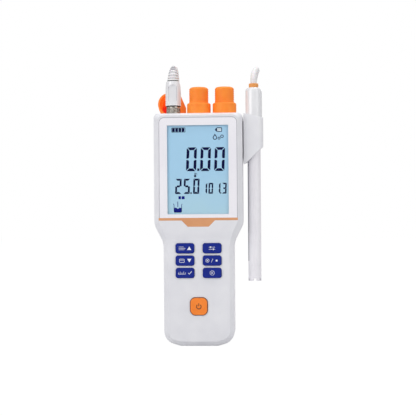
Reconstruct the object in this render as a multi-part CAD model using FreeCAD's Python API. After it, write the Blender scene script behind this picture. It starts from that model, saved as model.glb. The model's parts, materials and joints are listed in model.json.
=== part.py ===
import FreeCAD
import Part
import math
import os

V = FreeCAD.Vector
os.makedirs("parts", exist_ok=True)

# The meter stands on its base: X to the viewer's right, Y into the depth, Z up, all in millimetres.
# The origin is the middle of the flat base, and the front face looks along -Y.

# Case outline, seen from the front
body_height = 211.2
head_half = 40.3
grip_half = 32.0
base_half = 17.0
base_rise = 4.5
waist_low = 93.7
waist_high = 110.0
base_blend_r = 8.0
base_corner_r = 12.0
waist_low_r = 20.0
waist_high_r = 15.0
top_corner_r = 4.0

# Case depth, from the front face to the back
front_y = -17.5
back_y = 17.5
rim_depth = 4.0
back_rim_depth = 5.0
grip_drop = 1.0
grip_back_drop = 2.3
split_y = -6.0
case_wall = 2.5
front_wall = 2.9
back_wall = 2.2
ramp_low = 97.0
ramp_high = 105.0

# How far the flat front and back lie inside the outline, on each side of it
front_inset_base = 5.9
front_inset_grip = 5.5
front_inset_waist = 5.2
front_inset_head = 4.0
front_inset_top = 2.0
front_top_corner_r = 5.2
back_inset_base = 2.0
back_inset_side = 4.5
back_inset_top = 1.0
step_inset = 6.5
rim_fillet = 1.2

# Clearances
fit_gap = 0.05
loose_gap = 0.1
key_gap = 0.2

# Display
panel_side = 4.5
panel_width = 2 * (head_half - panel_side)
panel_bottom = waist_high + 3.9
panel_top = body_height - 3.8
panel_corner_r = 5.0
panel_thick = 0.8
opening_corner_r = 0.4
window_width = panel_width - 16.1
window_bottom = panel_bottom + 5.6
window_top = panel_top - 7.5
lens_lip = 1.2
lens_lip_thick = 0.75
glass_thick = 1.9
glass_bottom = window_bottom - 0.9
backlight_bottom = window_bottom + 3.1
backlight_thick = 2.85
frame_wall = 1.1
zebra_height = 2.9
zebra_half = window_width / 2 - 1.7
stripe_height = 2.3
tab_top_width = 30.3
tab_bottom_width = 19.0
tab_bottom = panel_bottom - 5.7

# Main board and what it carries
board_front_y = front_y + 7.2
board_thick = 1.6
board_head_half = head_half - 9.2
board_grip_half = grip_half - 6.2
board_bottom = 19.5
board_neck = waist_high + 2.5
board_top = body_height - 10.2
connector_pitch = 18.5
connector_drop = 14.0
connector_width = 8.0
connector_height = 6.0
connector_depth = 1.8
lead_half = 1.6
lead_thick = 0.8
lead_rise = 3.0
buzzer_r = 5.5
buzzer_height = 4.0
battery_lead_x = 6.0
battery_lead_z = 70.0
battery_lead_half = 1.0
membrane_thick = 0.6
membrane_half = 24.0
membrane_bottom = 27.5
membrane_top = 102.3
dome_r = 4.2
dome_top_r = 3.2
dome_height = 1.7
dome_wall = 0.5
disc_r = 2.9
disc_thick = 0.3
board_screw_x = 23.5
board_screw_low = 24.0
board_screw_high = 106.0
board_boss_r = 2.2
board_screw_r = 0.95
board_screw_head_r = 1.8
board_screw_head = 1.3

# Keys
key_width = 16.9
key_height = 9.1
key_corner_r = 2.2
key_rise = 1.3
key_column = 12.3
key_row_top = 88.7
key_pitch = 11.15
key_lip = 0.8
key_lip_thick = 1.0
key_edge_r = 0.5
power_width = 16.1
power_height = 16.4
power_corner_r = 5.0
power_z = 36.2
power_edge_r = 1.1

# Case screws
screw_top = (head_half - 5.8, body_height - 10.5)
screw_middle = (head_half - 9.0, waist_high - 4.0)
screw_bottom = (grip_half - 10.0, base_rise + 10.0)
boss_r = 3.0
column_r = 3.6
screw_r = 1.45
screw_head_r = 2.5
screw_drive = 1.6
screw_slot = 0.4
screw_head = 2.0
screw_seat_y = back_y - 13.5
screw_bite = 6.0

# Gasket between the case halves
gasket_inset = 0.9
gasket_width = 0.9
gasket_height = 1.2

# Sockets on top
socket_middle_x = 0.0
socket_pitch = 23.65
socket_y = 2.4
socket_r = 4.8
socket_bore_r = 3.6
socket_rise = 6.7
socket_drop = 7.0
socket_flange_r = 6.3
socket_flange = 1.0
nut_r = 6.9
nut_height = 2.5
insert_height = 4.8
pin_r = 0.4
pin_ring_r = 1.7
pin_count = 4
pin_rise = 4.0

# Rubber caps
cap_collar_r = 10.9
cap_collar_height = 10.0
cap_r = 8.85
cap_height = 24.6
cap_wall = 1.7
cap_lift = 0.3
cap_edge_r = 2.6
cap_collar_edge_r = 1.5
cap_rib_count = 7
cap_rib_pitch = 1.9
cap_rib_depth = 0.2
cap_rib_width = 0.7
hinge_y = back_y - 1.9
hinge_z = body_height - 1.8
bead_r = 1.3
strap_thick = 1.2
strap_width = 20.0
open_strap_width = 22.2
open_strap_shift = -0.55
open_web_high = 6.0
open_web_reach = -5.0
open_shift = -5.0
rail_half = head_half - 4.6
rail_front_y = hinge_y - 2.3
rail_bottom = hinge_z - 2.3
rail_lip = hinge_z - 1.1

# Plug
ring_bottom = body_height + socket_flange + 0.3
ring_top = body_height + socket_rise + 0.7
ring_r = 6.15
ring_lip = 0.6
nose_r = 3.45
nose_bore_r = 2.3
nose_drop = 9.3
nose_grip = 4.0
plug_bottom = ring_top + 0.7
nose_bottom = plug_bottom - nose_drop
plug_shoulder = plug_bottom + 11.2
plug_waist = plug_shoulder + 8.4
plug_top = plug_waist + 3.0
plug_r = 7.15
plug_waist_r = 6.85
plug_top_r = 6.25
plug_neck_r = 4.4
plug_facet = 6.1
plug_facet_half = 4.2
plug_facet_low = plug_bottom + 1.5
plug_facet_top = plug_bottom + 14.9
boot_bottom = plug_top + 0.9
boot_base_r = 5.4
boot_tip_r = 2.3
boot_straight = 3.2
boot_bend_r = 9.5
boot_bend_deg = 75.0
boot_ribs = 7
boot_rib = 1.25
boot_groove = 0.9

# Probe and its holder
probe_x = head_half + 10.3
probe_y = 0.0
handle_r = 7.55
handle_length = 50.2
handle_bottom = body_height - 26.4
handle_top = handle_bottom + handle_length
handle_shoulder = 3.2
handle_top_r = 4.8
handle_socket = 18.0
stem_r = 6.0
stem_wall = 1.4
stem_length = 126.7
stem_bottom = handle_bottom - stem_length
tip_height = 14.0
tip_thread_r = 5.0
tip_thread = 7.8
tip_mouth_r = 3.6
tip_slot = 2.2
tip_slot_height = 2.4
tip_slots = 6
film_thick = 0.3
core_r = 3.4
core_length = 35.7
lead_r = 1.9
probe_ring_r = 4.4
probe_ring_height = 3.7
probe_boot_r = 2.95
probe_boot_tip_r = 2.5
probe_boot_root_r = 2.6
probe_boot_root = 4.5
probe_boot_straight = 4.2
probe_boot_bend_r = 10.0
probe_boot_bend_deg = 80.0
probe_boot_turn_deg = 20.0
holder_gap = 0.8
holder_wall = 0.8
holder_corner_r = 5.6
holder_edge_r = 0.8
holder_left_top = body_height + 0.2
holder_right_top = body_height - 4.2
holder_left_bottom = handle_bottom - 20.0
holder_heel = 3.0
holder_heel_rise = 1.6
holder_right_bottom = handle_bottom - 3.6
rib_y = 6.2
rib_neck = 2.0
rib_neck_depth = 1.2
rib_head = 3.0
rib_head_depth = 1.2
rib_bottom = holder_left_bottom + 5.2
rib_top = rib_bottom + 35.0

# Battery compartment in the back of the grip
cell_r = 7.25
cell_length = 50.5
cell_gap = 0.35
cell_bottom = 25.0
cell_button_r = 2.75
cell_button = 1.2
tray_half = 2 * cell_r + 2.3
tray_bottom = cell_bottom - 5.5
tray_top = cell_bottom + cell_length + 7.0
tray_wall = 1.5
hatch_half = tray_half + 2.2
hatch_bottom = tray_bottom + 1.0
hatch_top = tray_top - 1.0
door_half = hatch_half + 3.5
door_bottom = hatch_bottom - 4.5
door_top = hatch_top + 4.5
door_corner_r = 4.0
door_travel = 9.0
hook_low = hatch_bottom + 14.5
hook_high = hatch_top - 15.5
hook_height = 4.0
hook_leg = 1.2
hook_foot = 1.6
hook_foot_thick = 1.1
door_grip_count = 5
door_grip_pitch = 2.2
door_grip_width = 1.0
door_grip_depth = 0.5
door_grip_half = 9.0
contact_thick = 0.4
contact_half = 5.0
spring_base_r = 4.2
spring_tip_r = 2.2

# Cord
cord_r = 2.0
coil_x = 0.0
coil_y = back_y + 30.5
coil_outer_r = 27.4
coil_inner_r = 14.5
coil_layers = 2
coil_slack = 0.2
coil_turns = 6.33

# Each corner of a cord's route: X from the boot's tip, Y from the case's back,
# and Z as a share of the tip's height.
# The plug cord leaves the bent strain relief, arches over the open cap and comes down behind the case.
plug_cord_route = [
    (0.0, 0.1, 1.0087),
    (0.0, 9.9, 1.0099),
    (0.0, 20.1, 0.9966),
    (0.0, 29.7, 0.9660),
    (0.1, 36.9, 0.9178),
    (0.4, 40.9, 0.8504),
    (1.0, 42.5, 0.7446),
    (1.8, 43.3, 0.5800),
    (1.3, 44.5, 0.4076),
    (-0.4, 45.7, 0.2586),
    (-2.2, 45.9, 0.1646),
    (-3.2, 44.5, 0.1038),
    (-3.7, 39.7, 0.0588),
    (-3.8, 32.1, 0.0321),
]
plug_cord_cut = 3 * len(plug_cord_route) // 7

# The probe cord arches back from the boot, passes behind the holder and comes down to the coil.
probe_cord_route = [
    (2.8, -1.8, 1.0057),
    (4.4, 6.9, 0.9978),
    (4.4, 14.9, 0.9701),
    (3.2, 20.3, 0.9211),
    (1.0, 22.9, 0.8566),
    (-2.8, 23.9, 0.7909),
    (-7.8, 24.7, 0.7260),
    (-15.8, 25.5, 0.6607),
    (-22.8, 26.1, 0.5777),
    (-26.2, 27.1, 0.4590),
    (-26.0, 28.1, 0.3086),
    (-24.2, 27.9, 0.1978),
    (-23.2, 25.7, 0.1227),
    (-23.4, 21.7, 0.0692),
    (-25.8, 16.7, 0.0332),
    (-30.2, 12.3, 0.0138),
    (-35.5, 9.2, 0.0091),
]
probe_cord_cut = len(probe_cord_route) // 3


def box(x0, x1, y0, y1, z0, z1):
    return Part.makeBox(x1 - x0, y1 - y0, z1 - z0, V(x0, y0, z0))


def post_z(x, y, r, z0, z1):
    return Part.makeCylinder(r, z1 - z0, V(x, y, z0), V(0, 0, 1))


def post_y(x, z, r, y0, y1):
    return Part.makeCylinder(r, y1 - y0, V(x, y0, z), V(0, 1, 0))


def post_x(y, z, r, x0, x1):
    return Part.makeCylinder(r, x1 - x0, V(x0, y, z), V(1, 0, 0))


def tube_z(x, y, r_out, r_in, z0, z1):
    return post_z(x, y, r_out, z0, z1).cut(post_z(x, y, r_in, z0 - 1, z1 + 1))


def turned(x, y, profile):
    """A solid of revolution about a vertical line, from (radius, z) pairs."""
    points = [V(x + r, y, z) for r, z in profile]
    face = Part.Face(Part.makePolygon(points + points[:1]))
    return face.revolve(V(x, y, 0), V(0, 0, 1), 360)


def rounded_wire(corners, y):
    """A closed wire at depth y through (x, z, radius) corners, each rounded to its radius."""
    edges = []
    ends = []
    for i, (x, z, r) in enumerate(corners):
        here = V(x, y, z)
        before = V(corners[i - 1][0], y, corners[i - 1][1]) - here
        after = V(corners[(i + 1) % len(corners)][0], y, corners[(i + 1) % len(corners)][1]) - here
        before.normalize()
        after.normalize()
        half = before.getAngle(after) / 2
        middle = before + after
        middle.normalize()
        start = here + before * (r / math.tan(half))
        end = here + after * (r / math.tan(half))
        crown = here + middle * (r / math.sin(half) - r)
        ends.append((start, crown, end))
    for i, (start, crown, end) in enumerate(ends):
        edges.append(Part.LineSegment(ends[i - 1][2], start).toShape())
        edges.append(Part.Arc(start, crown, end).toShape())
    return Part.Wire(edges)


def plate(corners, y0, y1):
    return Part.Face(rounded_wire(corners, y0)).extrude(V(0, y1 - y0, 0))


def pad(x, z, width, height, r, y0, y1):
    """A plate with four rounded corners."""
    w = width / 2
    h = height / 2
    return plate([(x - w, z - h, r), (x + w, z - h, r), (x + w, z + h, r), (x - w, z + h, r)], y0, y1)


def softened(shape, r, test):
    """The shape with each edge that passes the test rounded to radius r."""
    return shape.makeFillet(r, [e for e in shape.Edges if test(e)])


def at_y(edge, y):
    return abs(edge.BoundBox.YMin - y) < 1e-4 and abs(edge.BoundBox.YMax - y) < 1e-4


def at_z(edge, z):
    return abs(edge.BoundBox.ZMin - z) < 1e-4 and abs(edge.BoundBox.ZMax - z) < 1e-4


def joined(shapes):
    return shapes[0].fuse(shapes[1:]) if len(shapes) > 1 else shapes[0]


def group(shapes):
    return Part.makeCompound(shapes)


def one_solid(shape):
    """The cleaned shape, which has to be a single valid solid."""
    clean = shape.removeSplitter()
    assert len(clean.Solids) == 1 and clean.isValid(), (len(clean.Solids), clean.isValid())
    return clean.Solids[0]


# Case outline and shells

def outline(base, grip, waist, head, top, top_r=None):
    """The outline's corners, each side moved in by its own distance."""
    right = [
        (base_half, 0.0, base_blend_r, base),
        (grip_half, base_rise, base_corner_r, grip),
        (grip_half, waist_low, -waist_low_r, waist),
        (head_half, waist_high, waist_high_r, head),
        (head_half, body_height, top_corner_r, top),
    ]
    left = [(-x, z, r) for x, z, r, inset in right][::-1]
    sides = [side for x, z, r, side in right]
    insets = sides + sides[:-1][::-1] + [base]
    path = [(x, z, r) for x, z, r, side in right] + left
    lines = []
    for i, (x, z, r) in enumerate(path):
        a = V(x, 0, z)
        b = V(path[(i + 1) % len(path)][0], 0, path[(i + 1) % len(path)][1])
        along = b - a
        along.normalize()
        inward = V(-along.z, 0, along.x)
        lines.append((a + inward * insets[i], along))
    corners = []
    for i, (x, z, r) in enumerate(path):
        p, u = lines[i - 1]
        q, v = lines[i]
        gap = q - p
        s = (gap.x * v.z - gap.z * v.x) / (u.x * v.z - u.z * v.x)
        meet = p + u * s
        nearest = min(insets[i - 1], insets[i])
        radius = -r + nearest if r < 0 else max(r - nearest, 0.6)
        if top_r is not None and z == body_height:
            radius = top_r
        corners.append((meet.x, meet.z, radius))
    return corners


def even_outline(inset):
    return outline(inset, inset, inset, inset, inset)


def bevelled(straight_y, rim_y, flat_y, flat_corners):
    """The full outline up to the rim, then a bevel in to the flat face."""
    block = plate(outline(0, 0, 0, 0, 0), straight_y, rim_y)
    slope = Part.makeLoft([rounded_wire(outline(0, 0, 0, 0, 0), rim_y), rounded_wire(flat_corners, flat_y)],
                          True, True)
    return block.fuse(slope).removeSplitter()


def ramp_cut(near_y, far_y):
    """What the grip loses in depth, with a ramp up to the head."""
    points = [V(-60, near_y, -10), V(-60, near_y, ramp_low), V(-60, far_y, ramp_high),
              V(-60, far_y * 2, ramp_high), V(-60, far_y * 2, -10)]
    return Part.Face(Part.makePolygon(points + points[:1])).extrude(V(120, 0, 0))


grip_front_y = front_y + grip_drop
grip_back_y = back_y - grip_back_drop
rim_y = front_y + rim_depth
back_rim_y = back_y - back_rim_depth
inner_front_y = front_y + front_wall
inner_back_y = grip_back_y - back_wall
window_middle = (window_bottom + window_top) / 2
window_height = window_top - window_bottom
panel_back_y = front_y + panel_thick
lens_back_y = panel_back_y + lens_lip_thick
board_back_y = board_front_y + board_thick
tray_front_y = inner_back_y - 2 * cell_r - tray_wall - 2 * cell_gap
socket_xs = [socket_middle_x + socket_pitch * i for i in (-1, 0, 1)]
connector_xs = [socket_middle_x + connector_pitch * i for i in (-1, 0, 1)]
connector_z = board_top - connector_drop
screw_places = [(s * x, z) for x, z in (screw_top, screw_middle, screw_bottom) for s in (-1, 1)]
board_screw_places = [(s * board_screw_x, z) for z in (board_screw_low, board_screw_high) for s in (-1, 1)]
key_places = {
    "key_up": (-key_column, key_row_top),
    "key_set": (key_column, key_row_top),
    "key_down": (-key_column, key_row_top - key_pitch),
    "key_measure": (key_column, key_row_top - key_pitch),
    "key_enter": (-key_column, key_row_top - 2 * key_pitch),
    "key_cancel": (key_column, key_row_top - 2 * key_pitch),
}


def strip_corners(gap):
    """The accent strip: a stripe under the panel with a tab in the middle."""
    w = panel_width / 2 + gap
    top = panel_bottom + stripe_height
    low = panel_bottom - gap
    t = tab_top_width / 2 + gap
    b = tab_bottom_width / 2 + gap
    return [(-w, low, 0.1), (-t, low, 0.5), (-b, tab_bottom - gap, 0.8), (b, tab_bottom - gap, 0.8),
            (t, low, 0.5), (w, low, 0.1), (w, top, 0.1), (-w, top, 0.1)]


def panel_corners(gap):
    w = panel_width / 2 + gap
    low = panel_bottom + stripe_height
    return [(-w, low, 0.1), (w, low, 0.1), (w, panel_top + gap, panel_corner_r),
            (-w, panel_top + gap, panel_corner_r)]


def gasket_solid(gap, y0, y1):
    outer = plate(even_outline(gasket_inset - gap), y0, y1)
    return outer.cut(plate(even_outline(gasket_inset + gasket_width + gap), y0 - 1, y1 + 1))


def case_cavity(inner_y, rim_inner_y):
    """The hollow of one shell: full width near the split, narrower behind the bevel."""
    wide = plate(even_outline(case_wall), split_y, rim_inner_y)
    deep = plate(even_outline(step_inset), min(split_y, inner_y), max(split_y, inner_y))
    return wide.fuse(deep)


def front_case():
    flat = outline(front_inset_base, front_inset_grip, front_inset_waist, front_inset_head,
                   front_inset_top, front_top_corner_r)
    shell = bevelled(split_y, rim_y, front_y, flat)
    shell = shell.cut(ramp_cut(grip_front_y, front_y))
    shell = softened(shell, rim_fillet, lambda e: at_y(e, rim_y))
    shell = shell.cut(case_cavity(inner_front_y, inner_front_y + 1.6))
    shell = shell.cut(plate(panel_corners(fit_gap), front_y - 1, panel_back_y))
    shell = shell.cut(plate(strip_corners(fit_gap), front_y - 1, panel_back_y))
    opening_w = window_width + 2 * (lens_lip + loose_gap)
    opening_h = window_height + 2 * (lens_lip + loose_gap)
    shell = shell.cut(pad(0, window_middle, opening_w, opening_h, opening_corner_r,
                          front_y - 1, inner_front_y + 1))
    for x, z in key_places.values():
        shell = shell.cut(pad(x, z, key_width + 2 * key_gap, key_height + 2 * key_gap, key_corner_r + key_gap,
                              front_y - 1, inner_front_y + 1))
    shell = shell.cut(pad(0, power_z, power_width + 2 * key_gap, power_height + 2 * key_gap,
                          power_corner_r + key_gap, front_y - 1, inner_front_y + 1))
    bosses = [post_y(x, z, boss_r, inner_front_y - 0.5, split_y) for x, z in screw_places]
    bosses += [post_y(x, z, board_boss_r, inner_front_y - 0.5, board_front_y) for x, z in board_screw_places]
    shell = shell.fuse(bosses)
    for x, z in screw_places:
        shell = shell.cut(post_y(x, z, screw_r + fit_gap, split_y - screw_bite - 1, split_y + 1))
    for x, z in board_screw_places:
        shell = shell.cut(post_y(x, z, board_screw_r + fit_gap, inner_front_y + 0.6, board_front_y + 1))
    shell = shell.cut(gasket_solid(fit_gap, split_y - gasket_height / 2 - fit_gap, split_y + 1))
    return one_solid(shell)


def rear_case():
    flat = outline(back_inset_base, back_inset_side, back_inset_side, back_inset_side, back_inset_top,
                   front_top_corner_r)
    shell = bevelled(split_y, back_rim_y, back_y, flat)
    shell = shell.cut(ramp_cut(grip_back_y, back_y))
    shell = softened(shell, rim_fillet, lambda e: at_y(e, back_rim_y))
    shell = shell.cut(case_cavity(inner_back_y, inner_back_y - 1.6))
    for x in socket_xs:
        shell = shell.cut(post_z(x, socket_y, socket_r + fit_gap, body_height - 5, body_height + 5))
    columns = [post_y(x, z, column_r, split_y, inner_back_y + 1) for x, z in screw_places]
    trim = plate(even_outline(case_wall / 2), split_y, back_y)
    shell = shell.fuse([c.common(trim) for c in columns])
    shell = shell.cut(box(-rail_half - fit_gap, rail_half + fit_gap, rail_front_y - fit_gap, back_y + 1,
                          rail_bottom - fit_gap, body_height + 1))
    for x, z in screw_places:
        shell = shell.cut(post_y(x, z, screw_r + fit_gap, split_y - 1, back_y + 1))
        shell = shell.cut(post_y(x, z, screw_head_r + loose_gap, screw_seat_y, back_y + 1))
    shell = shell.cut(box(-hatch_half, hatch_half, inner_back_y - 1, back_y, hatch_bottom, hatch_top))
    for z in (hook_low, hook_high):
        notch = hatch_half + hook_foot + 2 * loose_gap
        shell = shell.cut(box(-notch, notch, inner_back_y - 1, back_y, z - door_travel - 2 * loose_gap,
                              z - door_travel + hook_height + 2 * loose_gap))
    shell = shell.fuse(holder_rib(0))
    shell = shell.cut(gasket_solid(fit_gap, split_y - 1, split_y + gasket_height / 2 + fit_gap))
    return one_solid(shell)


def holder_rib(gap):
    """The T-shaped rib on the case's right side that the holder slides down over."""
    root = head_half - (case_wall / 2 if gap == 0 else -holder_gap / 2)
    neck_end = head_half + holder_gap + rib_neck_depth - gap
    low = rib_bottom if gap == 0 else holder_left_bottom - 5
    neck = box(root, neck_end + 0.5, rib_y - rib_neck / 2 - gap, rib_y + rib_neck / 2 + gap,
               low, rib_top + gap)
    head = box(neck_end, neck_end + rib_head_depth + 2 * gap, rib_y - rib_head / 2 - gap,
               rib_y + rib_head / 2 + gap, low, rib_top + gap)
    return neck.fuse(head)


def case_screws():
    screws = []
    for x, z in screw_places:
        shank = post_y(x, z, screw_r, split_y - screw_bite, screw_seat_y + 0.5)
        head = post_y(x, z, screw_head_r, screw_seat_y, screw_seat_y + screw_head)
        head = softened(head, 0.5, lambda e: at_y(e, screw_seat_y + screw_head))
        drive = box(x - screw_drive, x + screw_drive, screw_seat_y + 1, back_y,
                    z - screw_slot, z + screw_slot)
        cross = box(x - screw_slot, x + screw_slot, screw_seat_y + 1, back_y,
                    z - screw_drive, z + screw_drive)
        screws.append(one_solid(shank.fuse(head).cut(drive.fuse(cross))))
    return group(screws)


# Display and panel

def display_panel():
    sheet = plate(panel_corners(0), front_y, panel_back_y)
    return one_solid(sheet.cut(pad(0, window_middle, window_width, window_height, 0.6, front_y - 1,
                                   panel_back_y + 1)))


def clear_window():
    face = pad(0, window_middle, window_width - 2 * fit_gap, window_height - 2 * fit_gap, 0.55,
               front_y + fit_gap, panel_back_y + 0.2)
    lip = pad(0, window_middle, window_width + 2 * lens_lip, window_height + 2 * lens_lip, 0.9,
              panel_back_y, lens_back_y)
    return one_solid(face.fuse(lip))


def lcd_glass():
    half = window_width / 2 + lens_lip - loose_gap
    return box(-half, half, lens_back_y + fit_gap, lens_back_y + fit_gap + glass_thick, glass_bottom,
               window_top + lens_lip - loose_gap)


def lcd_backlight():
    half = window_width / 2 + lens_lip - loose_gap
    start = lens_back_y + glass_thick + 2 * fit_gap
    return box(-half, half, start, start + backlight_thick,
               backlight_bottom, window_top + lens_lip - loose_gap)


def lcd_frame():
    half = window_width / 2 + lens_lip
    low = glass_bottom - loose_gap
    high = window_top + lens_lip
    frame_front = inner_front_y + loose_gap
    outer = box(-half - frame_wall, half + frame_wall, frame_front, board_front_y, low - 2 * frame_wall,
                high + frame_wall)
    return outer.cut(box(-half, half, frame_front - 1, board_front_y + 1, low, high))


def zebra_strip():
    start = lens_back_y + glass_thick + 2 * fit_gap
    return box(-zebra_half, zebra_half, start, board_front_y, glass_bottom + loose_gap,
               glass_bottom + loose_gap + zebra_height)


# Board and keypad

def main_board():
    board = box(-board_head_half, board_head_half, board_front_y, board_back_y, board_neck, board_top)
    board = board.fuse(box(-board_grip_half, board_grip_half, board_front_y, board_back_y, board_bottom,
                           board_neck))
    for x, z in board_screw_places:
        board = board.cut(post_y(x, z, board_screw_r + loose_gap, board_front_y - 1, board_back_y + 1))
    return one_solid(board)


def chip(x, z, width, height, depth):
    return box(x - width / 2, x + width / 2, board_back_y, board_back_y + depth,
               z - height / 2, z + height / 2)


def board_components():
    """Connectors, processor, memory, amplifier, crystal, voltage converter and buzzer on the board's back."""
    parts = [chip(x, connector_z, connector_width, connector_height, connector_depth) for x in connector_xs]
    processor = chip(0.0, board_neck + 37.5, 12.0, 12.0, 1.4)
    memory = chip(-17.0, board_neck + 53.0, 6.0, 5.0, 1.5)
    amplifier = chip(-12.0, board_neck + 22.5, 5.0, 3.2, 1.2)
    crystal = chip(18.0, board_neck + 47.5, 9.0, 4.0, 3.2)
    converter = chip(12.0, board_neck + 14.0, 6.0, 8.0, 3.6)
    buzzer = post_y(20.0, board_neck + 28.0, buzzer_r, board_back_y, board_back_y + buzzer_height)
    return group(parts + [processor, memory, amplifier, crystal, converter, buzzer])


def board_screws():
    screws = []
    for x, z in board_screw_places:
        shank = post_y(x, z, board_screw_r, inner_front_y + 0.8, board_back_y + 0.4)
        head = post_y(x, z, board_screw_head_r, board_back_y, board_back_y + board_screw_head)
        screws.append(one_solid(shank.fuse(head)))
    return group(screws)


def key_centres():
    return list(key_places.values()) + [(0.0, power_z)]


def dome_switches():
    return group([post_y(x, z, disc_r, board_front_y - disc_thick, board_front_y) for x, z in key_centres()])


def keypad_membrane():
    sheet_y = board_front_y - membrane_thick
    sheet = box(-membrane_half, membrane_half, sheet_y, board_front_y, membrane_bottom, membrane_top)
    for x, z in key_centres():
        dome = Part.makeCone(dome_r, dome_top_r, dome_height, V(x, sheet_y + 0.1, z), V(0, -1, 0))
        sheet = sheet.fuse(dome)
    for x, z in key_centres():
        depth = dome_height + membrane_thick - dome_wall
        hollow = Part.makeCone(dome_r - dome_wall, dome_top_r - dome_wall, depth, V(x, board_front_y, z),
                               V(0, -1, 0))
        sheet = sheet.cut(hollow)
    return one_solid(sheet)


def key(x, z, width, height, corner_r, edge_r):
    face_y = grip_front_y - key_rise
    lip_y = inner_front_y + loose_gap
    body = pad(x, z, width, height, corner_r, face_y, lip_y + 0.2)
    body = softened(body, edge_r, lambda e: at_y(e, face_y))
    lip = pad(x, z, width + 2 * key_lip, height + 2 * key_lip, corner_r + key_lip,
              lip_y, lip_y + key_lip_thick)
    return one_solid(body.fuse(lip))


# Sockets and caps

def socket_shell(x):
    barrel = tube_z(x, socket_y, socket_r, socket_bore_r,
                    body_height - socket_drop, body_height + socket_rise)
    flange = tube_z(x, socket_y, socket_flange_r, socket_bore_r, body_height + fit_gap,
                    body_height + fit_gap + socket_flange)
    return one_solid(barrel.fuse(flange))


def socket_nuts():
    top = body_height - case_wall - fit_gap
    return group([tube_z(x, socket_y, nut_r, socket_r + fit_gap, top - nut_height, top) for x in socket_xs])


def socket_inserts():
    parts = []
    low = body_height - socket_drop
    for x in socket_xs:
        disc = post_z(x, socket_y, socket_bore_r - fit_gap, low, low + insert_height)
        for i in range(pin_count):
            turn = 2 * math.pi * (i + 0.5) / pin_count
            disc = disc.fuse(post_z(x + pin_ring_r * math.cos(turn), socket_y + pin_ring_r * math.sin(turn),
                                    pin_r, low + 1, low + insert_height + pin_rise))
        parts.append(one_solid(disc))
    return group(parts)


def socket_leads():
    """Flat leads from the sockets down to the connectors on the board's back."""
    parts = []
    top = body_height - socket_drop
    bend = connector_z + lead_rise
    foot = connector_z - connector_height / 3
    near = board_back_y + connector_depth
    far = socket_y + lead_thick / 2
    for x, end_x in zip(socket_xs, connector_xs):
        drop = box(x - lead_half, x + lead_half, far - lead_thick, far, bend, top)
        run = box(min(x, end_x) - lead_half, max(x, end_x) + lead_half, near, far, bend - lead_thick, bend)
        end = box(end_x - lead_half, end_x + lead_half, near, near + lead_thick, foot, bend)
        parts.append(one_solid(drop.fuse([run, end])))
    return group(parts)


def cap_hinge_rail():
    rail = box(-rail_half, rail_half, rail_front_y, back_y, rail_bottom, body_height)
    rail = rail.cut(post_x(hinge_y, hinge_z, bead_r + fit_gap, -rail_half - 1, rail_half + 1))
    return one_solid(rail.cut(box(-rail_half - 1, rail_half + 1, hinge_y - strap_thick / 2 - loose_gap,
                                  back_y + 1, rail_lip, body_height + 1)))


def closed_web(x, strap_x, width):
    """The corners, as (x, y), of the flat web between the hinge and the collar."""
    reach = cap_collar_r * 0.94
    return [(strap_x - width / 2, hinge_y), (strap_x + width / 2, hinge_y), (x + reach, socket_y + 4),
            (x - reach, socket_y + 4)]


def pulled_web(x, strap_x, width):
    """The open cap's web, drawn out on the right where the cap hangs over to the left."""
    right = strap_x + width / 2
    reach = cap_collar_r * 0.94
    return [(strap_x - width / 2, hinge_y), (right, hinge_y), (right, open_web_high),
            (x + cap_collar_r - 0.1, open_web_reach), (x, open_web_reach), (x - reach, socket_y + 4)]


def rubber_cap(x, strap_x, width, web_corners):
    """One cap closed over its socket: collar, barrel with grip rings, strap and hinge bead."""
    low = body_height + cap_lift
    top = low + cap_height
    collar_top = low + cap_collar_height
    collar = post_z(x, socket_y, cap_collar_r, low, collar_top)
    collar = softened(collar, cap_collar_edge_r, lambda e: at_z(e, collar_top))
    barrel = post_z(x, socket_y, cap_r, low, top)
    barrel = softened(barrel, cap_edge_r, lambda e: at_z(e, top))
    for i in range(cap_rib_count):
        z = collar_top + 1.6 + i * cap_rib_pitch
        z_end = z + cap_rib_pitch - cap_rib_width
        barrel = barrel.cut(tube_z(x, socket_y, cap_r + 1, cap_r - cap_rib_depth, z, z_end))
    body = collar.fuse(barrel)
    strap_top = low + strap_thick
    leg = box(strap_x - width / 2, strap_x + width / 2, hinge_y - strap_thick / 2, hinge_y + strap_thick / 2,
              hinge_z, strap_top)
    bead = post_x(hinge_y, hinge_z, bead_r, strap_x - width / 2, strap_x + width / 2)
    points = [V(px, py, low) for px, py in web_corners(x, strap_x, width)]
    web = Part.Face(Part.makePolygon(points + points[:1])).extrude(V(0, 0, strap_thick))
    body = body.fuse([web, leg, bead])
    body = body.cut(post_z(x, socket_y, cap_collar_r - cap_wall, low - 1, collar_top - cap_wall + 0.2))
    body = body.cut(post_z(x, socket_y, cap_r - cap_wall, low - 1, top - cap_wall + 0.2))
    return one_solid(body)


def open_cap():
    """The left cap, swung back a quarter turn about its hinge bead."""
    shape = rubber_cap(socket_xs[0] + open_shift, socket_xs[0] + open_strap_shift,
                       open_strap_width, pulled_web)
    shape.rotate(V(0, hinge_y, hinge_z), V(1, 0, 0), -90)
    return shape


# Plug

def plug_ring():
    x = socket_xs[0]
    sleeve = tube_z(x, socket_y, ring_r, socket_r + loose_gap, ring_bottom, ring_top)
    lip = tube_z(x, socket_y, ring_r - 0.1, nose_r + loose_gap, ring_top - ring_lip, ring_top)
    sleeve = one_solid(sleeve.fuse(lip))
    return softened(sleeve, 0.3, lambda e: at_z(e, ring_top) and e.BoundBox.XLength > 2 * socket_r)


def plug_insert():
    return tube_z(socket_xs[0], socket_y, nose_r, nose_bore_r, nose_bottom, plug_bottom + nose_grip)


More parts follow.
